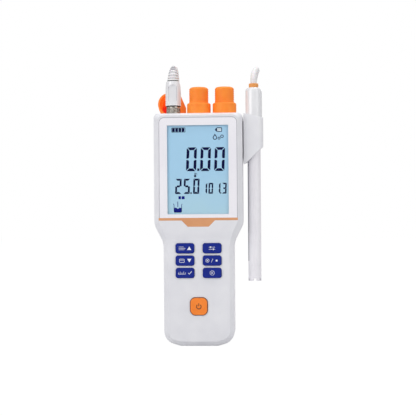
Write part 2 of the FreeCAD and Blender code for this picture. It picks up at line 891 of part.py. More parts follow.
def plug_body():
    x = socket_xs[0]
    profile = [(nose_r + fit_gap, plug_bottom), (plug_r, plug_bottom), (plug_r, plug_shoulder),
               (plug_waist_r, plug_waist), (plug_top_r, plug_top), (plug_neck_r, plug_top),
               (plug_neck_r, boot_bottom), (0, boot_bottom), (0, plug_bottom + nose_grip + fit_gap),
               (nose_r + fit_gap, plug_bottom + nose_grip + fit_gap)]
    body = turned(x, socket_y, profile)
    facet_y = socket_y - plug_facet
    facet = box(x - plug_facet_half, x + plug_facet_half, facet_y - 3, facet_y, plug_facet_low,
                plug_facet_top)
    facet = facet.fuse(post_y(x, plug_facet_top, plug_facet_half, facet_y - 3, facet_y))
    return one_solid(body.cut(facet))


def bent_path(x, y, z, straight, bend_r, bend_deg, turn_deg, along):
    """Place and direction at a distance along a path that rises, then bends back towards +Y."""
    rise = min(along, straight)
    angle = max(along - straight, 0.0) / bend_r
    back = bend_r * (1 - math.cos(angle))
    up = z + rise + bend_r * math.sin(angle)
    turn = math.radians(turn_deg)
    place = V(x + back * math.sin(turn), y + back * math.cos(turn), up)
    direction = V(math.sin(angle) * math.sin(turn), math.sin(angle) * math.cos(turn), math.cos(angle))
    return place, direction


def bent_boot(path, length, base_r, tip_r, steps):
    """A tapered round boot that follows a bent path."""
    rings = []
    for i in range(steps + 1):
        place, direction = path(length * i / steps)
        r = base_r + (tip_r - base_r) * i / steps
        rings.append(Part.Wire([Part.makeCircle(r, place, direction)]))
    return Part.makeLoft(rings, True, False)


def plug_boot_path(along):
    return bent_path(socket_xs[0], socket_y, boot_bottom, boot_straight,
                     boot_bend_r, boot_bend_deg, 0.0, along)


def probe_boot_path(along):
    return bent_path(probe_x, probe_y, handle_top + probe_ring_height, probe_boot_straight, probe_boot_bend_r,
                     probe_boot_bend_deg, probe_boot_turn_deg, along)


plug_boot_length = boot_straight + boot_bend_r * math.radians(boot_bend_deg)
probe_boot_length = probe_boot_straight + probe_boot_bend_r * math.radians(probe_boot_bend_deg)


def plug_boot():
    core = bent_boot(plug_boot_path, plug_boot_length, boot_base_r - boot_groove, boot_tip_r - 0.1, 8)
    parts = [core]
    pitch = plug_boot_length / boot_ribs
    for i in range(boot_ribs):
        place, direction = plug_boot_path(i * pitch)
        share = i / boot_ribs
        low_r = boot_base_r + (boot_tip_r - boot_base_r) * share
        high_r = low_r + (boot_tip_r - boot_base_r) * boot_rib / plug_boot_length
        parts.append(Part.makeCone(low_r + 0.1, high_r + 0.1, boot_rib, place, direction))
    return one_solid(joined(parts))


# Probe and holder

def probe_handle():
    profile = [(stem_r + fit_gap, handle_bottom), (handle_r - 0.8, handle_bottom),
               (handle_r, handle_bottom + 0.8), (handle_r, handle_top - handle_shoulder),
               (handle_r - 0.5, handle_top - 0.45 * handle_shoulder),
               (handle_r - 1.3, handle_top - 0.15 * handle_shoulder), (handle_top_r, handle_top),
               (probe_boot_root_r + fit_gap, handle_top),
               (probe_boot_root_r + fit_gap, handle_top - probe_boot_root),
               (lead_r + loose_gap, handle_top - probe_boot_root),
               (lead_r + loose_gap, handle_bottom + handle_socket),
               (stem_r + fit_gap, handle_bottom + handle_socket)]
    return one_solid(turned(probe_x, probe_y, profile))


def probe_ring():
    ring = tube_z(probe_x, probe_y, probe_ring_r, probe_boot_root_r + fit_gap, handle_top + fit_gap,
                  handle_top + probe_ring_height - fit_gap)
    wide = 2 * probe_ring_r - 0.1
    return softened(ring, 0.4, lambda e: e.BoundBox.ZLength < 0.01 and e.BoundBox.XLength > wide)


def probe_boot():
    boot = bent_boot(probe_boot_path, probe_boot_length, probe_boot_r, probe_boot_tip_r, 8)
    root = post_z(probe_x, probe_y, probe_boot_root_r, handle_top - probe_boot_root + fit_gap,
                  handle_top + probe_ring_height + 0.3)
    return one_solid(boot.fuse(root))


def probe_stem():
    low = stem_bottom + tip_height + fit_gap
    tube = tube_z(probe_x, probe_y, stem_r, stem_r - stem_wall,
                  low, handle_bottom + handle_socket - loose_gap)
    thread = tube_z(probe_x, probe_y, tip_thread_r, core_r + loose_gap, low - tip_thread, low + 2)
    return one_solid(tube.fuse(thread))


def membrane_cap():
    top = stem_bottom + tip_height
    ledge = top - tip_thread - 0.8
    cap = tube_z(probe_x, probe_y, stem_r, tip_mouth_r, stem_bottom, top)
    cap = cap.cut(post_z(probe_x, probe_y, tip_thread_r + fit_gap, ledge, top + 1))
    for i in range(tip_slots):
        slot = box(-stem_r - 1, 0, -tip_slot / 2, tip_slot / 2,
                   stem_bottom - 1, stem_bottom + tip_slot_height)
        slot.rotate(V(0, 0, 0), V(0, 0, 1), 360 * (i + 0.5) / tip_slots)
        slot.translate(V(probe_x, probe_y, 0))
        cap = cap.cut(slot)
    return one_solid(cap)


def membrane_film():
    ledge = stem_bottom + tip_height - tip_thread - 0.8
    return post_z(probe_x, probe_y, tip_thread_r - fit_gap, ledge + fit_gap, ledge + fit_gap + film_thick)


core_bottom = stem_bottom + tip_height - tip_thread
core_top = core_bottom + core_length


def sensor_core():
    return post_z(probe_x, probe_y, core_r, core_bottom, core_top)


def probe_lead():
    return post_z(probe_x, probe_y, lead_r, core_top + fit_gap, handle_top - probe_boot_root)


def probe_holder():
    left = head_half + holder_gap
    right = probe_x + handle_r + fit_gap * 3 + holder_wall
    half = handle_r + fit_gap * 3 + holder_wall
    corners = [(left, -half, holder_edge_r), (right, -half, holder_corner_r),
               (right, half, holder_corner_r), (left, half, holder_edge_r)]
    wire = rounded_wire(corners, 0)
    wire.rotate(V(0, 0, 0), V(1, 0, 0), 90)
    lowest = holder_left_bottom - 1
    wire.translate(V(0, 0, lowest - wire.BoundBox.ZMin))
    block = Part.Face(wire).extrude(V(0, 0, holder_left_top + 1 - lowest))
    side = [V(left - 1, -half - 1, holder_left_bottom), V(left + holder_heel, -half - 1,
            holder_left_bottom + holder_heel_rise), V(right + 1, -half - 1, holder_right_bottom + 0.9),
            V(right + 1, -half - 1, holder_right_top), V(left - 1, -half - 1, holder_left_top)]
    profile = Part.Face(Part.makePolygon(side + side[:1])).extrude(V(0, 2 * half + 2, 0))
    block = block.common(profile)
    block = block.cut(post_z(probe_x, probe_y, handle_r + fit_gap * 3, handle_bottom - fit_gap, handle_top))
    block = block.cut(post_z(probe_x, probe_y, stem_r + key_gap, holder_left_bottom - 5, handle_bottom + 1))
    return one_solid(block.cut(holder_rib(loose_gap)))


# Battery compartment

def battery_tray():
    back = inner_back_y - fit_gap
    tray = box(-tray_half, tray_half, tray_front_y, back, tray_bottom, tray_top)
    return tray.cut(box(-tray_half + tray_wall, tray_half - tray_wall, tray_front_y + tray_wall, back + 1,
                        tray_bottom + tray_wall, tray_top - tray_wall))


cell_top = cell_bottom + cell_length


def cell_places():
    y = inner_back_y - cell_gap - cell_r
    return [(-cell_r - cell_gap, y, 1), (cell_r + cell_gap, y, -1)]


def battery_cells():
    cells = []
    for x, y, up in cell_places():
        shift = 0 if up > 0 else cell_button
        body = post_z(x, y, cell_r, cell_bottom + shift, cell_bottom + shift + cell_length - cell_button)
        body = softened(body, 0.4, lambda e: e.BoundBox.ZLength < 0.01)
        start = cell_top - cell_button - 0.1 if up > 0 else cell_bottom
        cells.append(one_solid(body.fuse(post_z(x, y, cell_button_r, start, start + cell_button + 0.1))))
    return group(cells)


def battery_contacts():
    parts = []
    low = tray_bottom + tray_wall
    high = tray_top - tray_wall
    c = contact_half
    for x, y, up in cell_places():
        plate_low = box(x - c, x + c, y - c, y + c, low, low + contact_thick)
        plate_high = box(x - c, x + c, y - c, y + c, high - contact_thick, high)
        foot = low + contact_thick
        head = high - contact_thick
        lower = Part.makeCone(spring_base_r, spring_tip_r, cell_bottom - foot - loose_gap, V(x, y, foot))
        upper = Part.makeCone(spring_tip_r, spring_base_r, head - cell_top - loose_gap,
                              V(x, y, cell_top + loose_gap))
        parts += [one_solid(plate_low.fuse(lower)), one_solid(plate_high.fuse(upper))]
    return group(parts)


def battery_leads():
    """Two flat leads from the tray's front wall to the board."""
    half = battery_lead_half
    return group([box(x - half, x + half, board_back_y, tray_front_y,
                      battery_lead_z, battery_lead_z + lead_thick)
                  for x in (-battery_lead_x, battery_lead_x)])


def battery_door():
    face = pad(0, (door_bottom + door_top) / 2, 2 * door_half, door_top - door_bottom, door_corner_r,
               grip_back_y + fit_gap, back_y)
    face = softened(face, 0.8, lambda e: at_y(e, back_y))
    for i in range(door_grip_count):
        z = door_top - 6 - i * door_grip_pitch
        face = face.cut(box(-door_grip_half, door_grip_half, back_y - door_grip_depth, back_y + 1,
                            z - door_grip_width / 2, z + door_grip_width / 2))
    hooks = []
    foot_y = inner_back_y - loose_gap
    for z in (hook_low, hook_high):
        for s in (-1, 1):
            leg_out = s * (hatch_half - loose_gap)
            leg_in = leg_out - s * hook_leg
            foot_out = leg_out + s * hook_foot
            hooks.append(box(min(leg_in, leg_out), max(leg_in, leg_out), foot_y - hook_foot_thick,
                             grip_back_y + 0.3, z, z + hook_height))
            hooks.append(box(min(leg_in, foot_out), max(leg_in, foot_out), foot_y - hook_foot_thick, foot_y,
                             z, z + hook_height))
    return one_solid(face.fuse(hooks))


# Cord

def route_corners(route):
    """Start, middle and end of the arc at each inner point, as large as its two runs allow."""
    corners = []
    for before, here, after in zip(route, route[1:], route[2:]):
        back = before - here
        on = after - here
        reach = 0.45 * min(back.Length, on.Length)
        back.normalize()
        on.normalize()
        half = back.getAngle(on) / 2
        middle = back + on
        middle.normalize()
        r = reach * math.tan(half)
        corners.append((here + back * reach, here + middle * (r / math.sin(half) - r), here + on * reach, r))
    return corners


def cord_tube(name, route, first, last):
    """A tube along the route between two of its runs, cut in the middle of a run that isn't an end."""
    corners = route_corners(route)
    start = route[0] if first == 0 else (route[first - 1] + route[first]) * 0.5
    stop = route[-1] if last == len(route) - 1 else (route[last] + route[last + 1]) * 0.5
    bends = range(max(first, 1), min(last, len(route) - 2) + 1)
    edges = []
    here = start
    for i in bends:
        enter, crown, leave, r = corners[i - 1]
        edges.append(Part.LineSegment(here, enter).toShape())
        edges.append(Part.Arc(enter, crown, leave).toShape())
        here = leave
    edges.append(Part.LineSegment(here, stop).toShape())
    spine = Part.Wire(edges)
    section = Part.Wire([Part.makeCircle(cord_r, start, route[first + 1] - start if first == 0
                                         else route[first] - start)])
    tube = spine.makePipeShell([section], True, True)
    radii = [round(corners[i - 1][3], 1) for i in bends]
    expected = math.pi * cord_r ** 2 * spine.Length
    print(name, "length", round(spine.Length, 1), "radii", radii,
          "volume share", round(tube.Volume / expected, 4))
    return one_solid(tube)


def cord_coil():
    """The outer shape of the wound length, lying behind the grip."""
    height = 2 * coil_layers * (cord_r + coil_slack / 2)
    outer = coil_outer_r + cord_r + coil_slack
    inner = coil_inner_r - cord_r - coil_slack
    length = math.pi * (coil_outer_r + coil_inner_r) * coil_turns
    print("cord_coil", "wound length", round(length, 1))
    return tube_z(coil_x, coil_y, outer, inner, 0, height)


def cord_routes():
    plug_tip, plug_way = plug_boot_path(plug_boot_length)
    probe_tip, probe_way = probe_boot_path(probe_boot_length)
    plug_route = [plug_tip] + [V(plug_tip.x + x, back_y + y, plug_tip.z * z) for x, y, z in plug_cord_route]
    probe_route = [V(probe_tip.x + x, back_y + y, probe_tip.z * z) for x, y, z in probe_cord_route]
    probe_route.insert(0, probe_tip)
    return plug_route, probe_route


def all_parts():
    plug_route, probe_route = cord_routes()
    parts = {
        "front_case": front_case(),
        "rear_case": rear_case(),
        "case_gasket": one_solid(gasket_solid(0, split_y - gasket_height / 2, split_y + gasket_height / 2)),
        "case_screws": case_screws(),
        "display_panel": display_panel(),
        "accent_strip": one_solid(plate(strip_corners(0), front_y, panel_back_y)),
        "clear_window": clear_window(),
        "lcd_glass": lcd_glass(),
        "lcd_backlight": lcd_backlight(),
        "lcd_frame": lcd_frame(),
        "zebra_strip": zebra_strip(),
        "main_board": main_board(),
        "board_components": board_components(),
        "board_screws": board_screws(),
        "dome_switches": dome_switches(),
        "keypad_membrane": keypad_membrane(),
        "key_power": key(0.0, power_z, power_width, power_height, power_corner_r, power_edge_r),
        "socket_nuts": socket_nuts(),
        "socket_inserts": socket_inserts(),
        "socket_leads": socket_leads(),
        "cap_hinge_rail": cap_hinge_rail(),
        "cap_left": open_cap(),
        "cap_middle": rubber_cap(socket_xs[1], socket_xs[1], strap_width, closed_web),
        "cap_right": rubber_cap(socket_xs[2], socket_xs[2], strap_width, closed_web),
        "plug_ring": plug_ring(),
        "plug_insert": plug_insert(),
        "plug_body": plug_body(),
        "plug_boot": plug_boot(),
        "probe_holder": probe_holder(),
        "probe_handle": probe_handle(),
        "probe_ring": probe_ring(),
        "probe_boot": probe_boot(),
        "probe_stem": probe_stem(),
        "probe_lead": probe_lead(),
        "sensor_core": sensor_core(),
        "membrane_cap": membrane_cap(),
        "membrane_film": membrane_film(),
        "battery_tray": battery_tray(),
        "battery_cells": battery_cells(),
        "battery_contacts": battery_contacts(),
        "battery_leads": battery_leads(),
        "battery_door": battery_door(),
        "plug_cord_upper": cord_tube("plug_cord_upper", plug_route, 0, plug_cord_cut),
        "plug_cord_lower": cord_tube("plug_cord_lower", plug_route, plug_cord_cut + 1, len(plug_route) - 1),
        "cord_coil": cord_coil(),
        "probe_cord_upper": cord_tube("probe_cord_upper", probe_route, 0, probe_cord_cut),
        "probe_cord_lower": cord_tube("probe_cord_lower", probe_route, probe_cord_cut + 1,
                                      len(probe_route) - 1),
    }
    for name, x in zip(("socket_left", "socket_middle", "socket_right"), socket_xs):
        parts[name] = socket_shell(x)
    for name, (x, z) in key_places.items():
        parts[name] = key(x, z, key_width, key_height, key_corner_r, key_edge_r)
    return parts


for name, shape in all_parts().items():
    shape.exportStep("parts/" + name + ".step")
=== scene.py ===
import bmesh
import bpy
import json
import math
from mathutils import Matrix, Vector
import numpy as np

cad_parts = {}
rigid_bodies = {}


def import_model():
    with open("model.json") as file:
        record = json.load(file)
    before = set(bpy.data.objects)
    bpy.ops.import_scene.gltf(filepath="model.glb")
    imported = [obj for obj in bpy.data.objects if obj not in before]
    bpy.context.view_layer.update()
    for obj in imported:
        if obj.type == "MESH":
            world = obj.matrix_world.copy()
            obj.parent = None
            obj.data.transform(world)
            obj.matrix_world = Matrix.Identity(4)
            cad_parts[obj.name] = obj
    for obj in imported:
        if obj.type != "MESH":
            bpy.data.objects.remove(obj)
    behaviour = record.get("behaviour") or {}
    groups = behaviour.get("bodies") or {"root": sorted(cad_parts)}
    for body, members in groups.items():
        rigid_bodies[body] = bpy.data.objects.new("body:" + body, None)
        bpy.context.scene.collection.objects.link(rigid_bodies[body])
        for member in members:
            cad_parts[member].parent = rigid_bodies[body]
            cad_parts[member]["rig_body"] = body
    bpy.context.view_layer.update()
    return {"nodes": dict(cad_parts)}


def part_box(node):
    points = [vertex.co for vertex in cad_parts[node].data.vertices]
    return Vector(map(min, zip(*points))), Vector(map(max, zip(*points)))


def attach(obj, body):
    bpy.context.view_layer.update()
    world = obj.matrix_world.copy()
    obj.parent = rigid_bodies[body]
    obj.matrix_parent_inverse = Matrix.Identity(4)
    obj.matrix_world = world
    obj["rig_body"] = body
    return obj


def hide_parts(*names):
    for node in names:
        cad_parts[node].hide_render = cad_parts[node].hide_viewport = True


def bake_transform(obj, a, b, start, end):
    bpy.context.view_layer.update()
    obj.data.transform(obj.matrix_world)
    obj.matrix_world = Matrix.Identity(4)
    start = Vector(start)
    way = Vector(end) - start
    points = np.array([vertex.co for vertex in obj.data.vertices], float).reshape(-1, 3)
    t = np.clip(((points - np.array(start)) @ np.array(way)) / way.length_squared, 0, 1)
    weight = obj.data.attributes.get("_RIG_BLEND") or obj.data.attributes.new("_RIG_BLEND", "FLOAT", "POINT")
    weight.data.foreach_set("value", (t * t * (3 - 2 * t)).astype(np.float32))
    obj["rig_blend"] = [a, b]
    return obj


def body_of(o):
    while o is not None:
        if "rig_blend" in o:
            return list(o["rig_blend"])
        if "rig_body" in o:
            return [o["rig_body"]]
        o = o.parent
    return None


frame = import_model()

MM = 0.001


# Camera: in front of the meter and a little to its right, level with its middle, as the photograph was taken

LENS = 86.5
CAMERA_PLACE = (64.0, -917.5, 125.0)
CAMERA_TURN = 3.5
CAMERA_LEAN = -0.43

camera = bpy.data.objects.new("camera", bpy.data.cameras.new("camera"))
camera.data.lens = LENS
camera.data.sensor_width = 36.0
camera.data.clip_start = 0.05
camera.data.clip_end = 20.0
camera.matrix_world = (Matrix.Translation(Vector(CAMERA_PLACE) * MM)
                       @ Matrix.Rotation(math.radians(CAMERA_TURN), 4, "Z")
                       @ Matrix.Rotation(math.radians(90), 4, "X")
                       @ Matrix.Rotation(math.radians(CAMERA_LEAN), 4, "Z"))
bpy.context.scene.collection.objects.link(camera)
bpy.context.scene.camera = camera


# Materials

def colour(hex_value):
    """An sRGB hex value as linear red, green, blue and alpha."""
    parts = [int(hex_value[i:i + 2], 16) / 255 for i in (1, 3, 5)]
    return [c / 12.92 if c <= 0.04045 else ((c + 0.055) / 1.055) ** 2.4 for c in parts] + [1.0]


def add(tree, kind, settings=(), inputs=()):
    """Adds a node with its settings, and its inputs as values or as the outputs that feed them."""
    node = tree.nodes.new(kind)
    for name, value in dict(settings).items():
        setattr(node, name, value)
    for name, value in dict(inputs).items():
        if isinstance(value, bpy.types.NodeSocket):
            tree.links.new(value, node.inputs[name])
        else:
            node.inputs[name].default_value = value
    return node


def blank(name):
    """A new material with an empty tree."""
    material = bpy.data.materials.new(name)
    material.use_nodes = True
    material.node_tree.nodes.clear()
    return material


def output(tree, shader):
    add(tree, "ShaderNodeOutputMaterial", inputs={"Surface": shader})


def noise(tree, size_mm, detail=2.0, stretch=(1, 1, 1)):
    """Noise whose features are about size_mm wide, on the piece's own coordinates."""
    place = add(tree, "ShaderNodeTexCoord").outputs["Object"]
    if stretch != (1, 1, 1):
        place = add(tree, "ShaderNodeMapping", inputs={"Vector": place, "Scale": stretch}).outputs["Vector"]
    return add(tree, "ShaderNodeTexNoise",
               inputs={"Vector": place, "Scale": 1 / (size_mm * MM), "Detail": detail}).outputs["Fac"]


def spread(tree, value, low, high):
    """The value's middle range laid over low to high."""
    return add(tree, "ShaderNodeMapRange", inputs={"Value": value, "From Min": 0.3, "From Max": 0.7,
                                                   "To Min": low, "To Max": high}).outputs["Result"]


def mixed(tree, share, first, second):
    """A blend of two colours."""
    node = add(tree, "ShaderNodeMix", {"data_type": "RGBA"})
    for socket, value in ((node.inputs[0], share), (node.inputs[6], first), (node.inputs[7], second)):
        if isinstance(value, bpy.types.NodeSocket):
            tree.links.new(value, socket)
        else:
            socket.default_value = value
    return node.outputs[2]


def moulded(name, light, dark, rough, grain_mm, depth_mm, cloud_mm=18.0, stretch=(1, 1, 1), **shader):
    """Moulded or cast stuff: two close shades in soft clouds, and a fine grain in its gloss and surface."""
    material = blank(name)
    tree = material.node_tree
    cloud = spread(tree, noise(tree, cloud_mm), 0.0, 1.0)
    grain = noise(tree, grain_mm, 3.0, stretch)
    bump = add(tree, "ShaderNodeBump", inputs={"Height": grain, "Distance": depth_mm * MM, "Strength": 0.5})
    inputs = {"Base Color": mixed(tree, cloud, colour(light), colour(dark)),
              "Roughness": spread(tree, grain, rough[0], rough[1]),
              "Normal": bump.outputs["Normal"]}
    inputs.update({key.replace("_", " "): value for key, value in shader.items()})
    output(tree, add(tree, "ShaderNodeBsdfPrincipled", inputs=inputs).outputs["BSDF"])
    return material


METAL_MARK_DEPTH = 0.01


def metal(name, light, dark, rough, line_mm, stretch):
    """Turned, drawn or plated metal, whose marks run along one way."""
    material = blank(name)
    tree = material.node_tree
    marks = noise(tree, line_mm, 3.0, stretch)
    bump = add(tree, "ShaderNodeBump", inputs={"Height": marks, "Distance": METAL_MARK_DEPTH * MM,
                                                   "Strength": 0.4})
    share = spread(tree, marks, 0.0, 1.0)
    output(tree, add(tree, "ShaderNodeBsdfPrincipled", inputs={
        "Base Color": mixed(tree, share, colour(light), colour(dark)), "Metallic": 1.0,
        "Roughness": spread(tree, marks, rough[0], rough[1]), "Normal": bump.outputs["Normal"]}).outputs["BSDF"])
    return material


# ABS, moulded with a fine satin texture: off-white with a soft, wide highlight
abs_white = moulded("moulded_ABS_white", "#e6e6ea", "#dfdfe4", (0.36, 0.46), 0.35, 0.012, IOR=1.53,
                    Coat_Weight=0.06, Coat_Roughness=0.4)
# The same ABS in the probe holder, a shade cooler
abs_holder = moulded("moulded_ABS_holder", "#e8e8eb", "#e1e1e6", (0.34, 0.44), 0.35, 0.01, IOR=1.53)
# Polycarbonate film, screen-printed on its back: even and slightly glossy
panel_film = moulded("printed_polycarbonate_film", "#f2f0f5", "#edebf1", (0.26, 0.32), 0.6, 0.002, 30.0,
                     IOR=1.58, Coat_Weight=0.2, Coat_Roughness=0.2)
# Screen-printing ink, orange, under the same film
orange_ink = moulded("orange_screen_ink", "#dd9e6e", "#d59566", (0.3, 0.36), 0.5, 0.002, 12.0, IOR=1.55)
# Grey of the line round the panel and of the arch on the plug's front: painted shade along their edges
edge_shade_grey = moulded("grey_painted_edge_shade", "#a9a8b0", "#a1a0a8", (0.4, 0.46), 0.3, 0.002, IOR=1.5)
# Darker grey of the line down the stem: painted shade along the stem's left edge
stem_shade_grey = moulded("grey_painted_stem_shade", "#868691", "#7d7d88", (0.4, 0.5), 0.4, 0.003, IOR=1.5)
# White pad-printing ink on the keys
white_ink = moulded("white_pad_ink", "#f1f2f7", "#e6e8f0", (0.4, 0.5), 0.3, 0.004, IOR=1.5)
# Brown pad-printing ink on the power key
brown_ink = moulded("brown_pad_ink", "#5d3212", "#542c0f", (0.4, 0.5), 0.3, 0.004, IOR=1.5)
# Silicone rubber, compression moulded: dull with a faint bloom of fine dust
silicone_orange = moulded("silicone_rubber_orange", "#ff9430", "#fb8729", (0.5, 0.64), 0.25, 0.014, 9.0,
                          IOR=1.43, Subsurface_Weight=0.08, Subsurface_Scale=0.002)
# The thin strap and wall of the open cap, with a painted glow: a faint emission makes them brighter than the closed
# caps, for light that comes through them
silicone_painted_glow = moulded("silicone_rubber_painted_glow", "#ff8f34", "#fb832c", (0.5, 0.64), 0.25, 0.014, 9.0, IOR=1.43,
                       Emission_Color=colour("#ff7a26"), Emission_Strength=0.12)
# Grey silicone of the gasket, the key sheet and the display's contact strip
silicone_grey = moulded("silicone_rubber_grey", "#a4a4a8", "#97979c", (0.55, 0.7), 0.3, 0.012, IOR=1.43)
# Near-black painted shade in the thin groove between the plug's shell and its boot, and in the gap over its coupling
# ring
near_black_shade = moulded("near_black_painted_shade", "#232622", "#1d201d", (0.5, 0.62), 0.3, 0.01, IOR=1.5)
# Polycarbonate keys, moulded and blue through: satin with a thin gloss
key_blue = moulded("moulded_polycarbonate_blue", "#08248a", "#062080", (0.42, 0.52), 0.3, 0.008, 6.0,
                   IOR=1.5, Specular_IOR_Level=0.25)
key_orange = moulded("moulded_polycarbonate_orange", "#fc8a30", "#f58229", (0.38, 0.48), 0.3, 0.008, 8.0,
                     IOR=1.5, Specular_IOR_Level=0.35)
# The power key's brown sides and rounded edge: painted shade for the dark outline of the gap round the orange face
key_edge_shade = moulded("power_key_painted_edge_shade", "#8f4a18", "#844313", (0.38, 0.48), 0.3, 0.008, 8.0, IOR=1.5)
# Glossy polycarbonate of the plug and the probe
gloss_white = moulded("polished_polycarbonate_white", "#e6e6e8", "#e0e0e3", (0.2, 0.28), 0.5, 0.003, 20.0,
                      IOR=1.58, Coat_Weight=0.25, Coat_Roughness=0.12)
stem_white = moulded("drawn_ABS_tube", "#efedf1", "#e9e7ec", (0.24, 0.34), 0.8, 0.004, 25.0, (1, 1, 0.08),
                     IOR=1.53, Coat_Weight=0.15, Coat_Roughness=0.2)
# Soft PVC: the cord's jacket and the strain reliefs
soft_pvc = moulded("soft_PVC_grey_white", "#e9e7e8", "#e2e0e2", (0.42, 0.54), 0.4, 0.012, 14.0, IOR=1.53,
                   Subsurface_Weight=0.05, Subsurface_Scale=0.001)
orange_ring = moulded("moulded_ABS_orange", "#e89c50", "#e09246", (0.34, 0.42), 0.3, 0.008, 5.0, IOR=1.53)
# The same PVC, darker, on the flanks of the plug's ribs: painted shade between the ribs
rib_flank_shade = moulded("soft_PVC_painted_rib_shade", "#bdbbbf", "#b2b0b5", (0.5, 0.6), 0.4, 0.012, 6.0, IOR=1.53)
# Glass-filled nylon: the sockets' inserts and the chips' black epoxy
black_nylon = moulded("glass_filled_nylon_black", "#1b1b1d", "#232326", (0.45, 0.6), 0.2, 0.015, IOR=1.53)
white_nylon = moulded("natural_nylon", "#dcdad4", "#d2d0ca", (0.4, 0.52), 0.25, 0.012, IOR=1.53)
backlight_sheet = moulded("opal_acrylic", "#eef4f8", "#e2ecf2", (0.4, 0.5), 0.5, 0.004, IOR=1.49)
cell_sleeve = moulded("shrink_film_grey", "#4d5560", "#434a54", (0.25, 0.35), 0.6, 0.006, 10.0, IOR=1.5)
lead_jacket = moulded("ribbon_lead_PVC", "#b8b8be", "#a9a9b0", (0.45, 0.55), 0.5, 0.02, 8.0, (1, 1, 0.1), IOR=1.53)
cast_resin = moulded("cast_epoxy_black", "#1c1c20", "#26262b", (0.3, 0.42), 0.4, 0.008, IOR=1.55)
# Nickel plate over turned brass: warm grey with rings from the lathe
nickel = metal("nickel_plated_brass", "#b5afa7", "#8f8a83", (0.24, 0.38), 0.25, (0.15, 0.15, 1))
# The same plate on the coupling ring and the plug's nose, duller and darker, with wide light and dark streaks
dark_streaked_nickel = metal("dark_streaked_nickel_plate", "#cdc7be", "#5c5853", (0.3, 0.44), 0.9, (0.5, 0.5, 1))
# Zinc-plated steel of the screws, and spring steel of the contacts and key domes
zinc_steel = metal("zinc_plated_steel", "#c3c5c8", "#9fa2a6", (0.3, 0.45), 0.3, (1, 0.2, 1))
spring_steel = metal("spring_steel_nickel", "#cfcbc2", "#b0aca3", (0.22, 0.34), 0.3, (1, 1, 0.2))


def hollow_painted_light(middle_mm, inner_mm, outer_mm):
    """Silicone in the hollow of the open cap, in painted light: red inside as painted shade, orange as painted light
    where light reaches it over the upper rim, and a painted glow.
    """
    material = blank("silicone_hollow_painted_light")
    tree = material.node_tree
    place = add(tree, "ShaderNodeTexCoord").outputs["Object"]
    across = add(tree, "ShaderNodeSeparateXYZ", inputs={"Vector": place}).outputs
    flat = add(tree, "ShaderNodeCombineXYZ", inputs={"X": across["X"], "Z": across["Z"]})
    reach = add(tree, "ShaderNodeVectorMath", {"operation": "DISTANCE"})
    tree.links.new(flat.outputs["Vector"], reach.inputs[0])
    reach.inputs[1].default_value = (middle_mm[0] * MM, 0, middle_mm[1] * MM)
    share = add(tree, "ShaderNodeMapRange", inputs={
        "Value": reach.outputs["Value"], "From Min": inner_mm * MM, "From Max": outer_mm * MM}).outputs["Result"]
    tint = mixed(tree, share, colour("#ec3a2a"), colour("#ff9332"))
    grain = noise(tree, 0.25, 3.0)
    output(tree, add(tree, "ShaderNodeBsdfPrincipled", inputs={
        "Base Color": tint, "Roughness": spread(tree, grain, 0.55, 0.7), "IOR": 1.43, "Emission Color": tint,
        "Emission Strength": 0.2}).outputs["BSDF"])
    return material


def window_plastic():
    """Clear acrylic with a non-glare coat: nearly all light goes straight through, and little is reflected."""
    material = blank("clear_acrylic")
    tree = material.node_tree
    wipe = noise(tree, 9.0)
    output(tree, add(tree, "ShaderNodeBsdfPrincipled", inputs={
        "Base Color": mixed(tree, wipe, colour("#10141a"), colour("#151a22")), "Alpha": 0.03, "IOR": 1.49,
        "Specular IOR Level": 0.15,
        "Roughness": spread(tree, wipe, 0.05, 0.1)}).outputs["BSDF"])
    return material


GLASS_LOW_Z, GLASS_HIGH_Z = 118.7, 200.7


def lit_display():
    """The display's glass: pale blue, with soft clouds and a slow change of tint from its foot to its top."""
    material = blank("lit_display_glass")
    tree = material.node_tree
    place = add(tree, "ShaderNodeTexCoord").outputs["Object"]
    across = add(tree, "ShaderNodeSeparateXYZ", inputs={"Vector": place})
    rise = add(tree, "ShaderNodeMapRange", inputs={"Value": across.outputs["Z"],
                                                   "From Min": GLASS_LOW_Z * MM,
                                                   "From Max": GLASS_HIGH_Z * MM}).outputs["Result"]
    cloud = add(tree, "ShaderNodeMath", {"operation": "MULTIPLY_ADD"})
    tree.links.new(noise(tree, 22.0), cloud.inputs[0])
    cloud.inputs[1].default_value = 0.5
    tree.links.new(rise, cloud.inputs[2])
    share = spread(tree, cloud.outputs[0], 0.0, 1.0)
    tint = mixed(tree, share, colour("#b7deef"), colour("#aedaf6"))
    output(tree, add(tree, "ShaderNodeBsdfPrincipled", inputs={
        "Base Color": tint, "Roughness": spread(tree, noise(tree, 3.0), 0.3, 0.38), "IOR": 1.5}).outputs["BSDF"])
    return material


def circuit_board():
    """Green solder mask with tracks that show as lighter lines, 0.6 mm wide."""
    material = blank("solder_mask_green")
    tree = material.node_tree
    place = add(tree, "ShaderNodeTexCoord").outputs["Object"]
    cells = add(tree, "ShaderNodeTexBrick", inputs={
        "Vector": add(tree, "ShaderNodeMapping", inputs={
            "Vector": place, "Rotation": (math.radians(90), 0, 0)}).outputs["Vector"],
        "Color1": colour("#14592f"), "Color2": colour("#0f4a27"), "Mortar": colour("#2d7a48"),
        "Scale": 1.0, "Mortar Size": 0.3 * MM, "Brick Width": 9 * MM, "Row Height": 2.4 * MM})
    grain = noise(tree, 1.2)
    output(tree, add(tree, "ShaderNodeBsdfPrincipled", inputs={
        "Base Color": cells.outputs["Color"], "Roughness": spread(tree, grain, 0.28, 0.4)}).outputs["BSDF"])
    return material


def display_ink(name, hex_value):
    """Liquid crystal that is switched on: near black, dulled by the polariser over it."""
    material = blank(name)
    tree = material.node_tree
    speck = noise(tree, 1.5)
    output(tree, add(tree, "ShaderNodeBsdfPrincipled", inputs={
        "Base Color": mixed(tree, spread(tree, speck, 0.0, 0.25), colour(hex_value), colour("#0a1050")),
        "Roughness": spread(tree, speck, 0.5, 0.6), "Specular IOR Level": 0.1}).outputs["BSDF"])
    return material


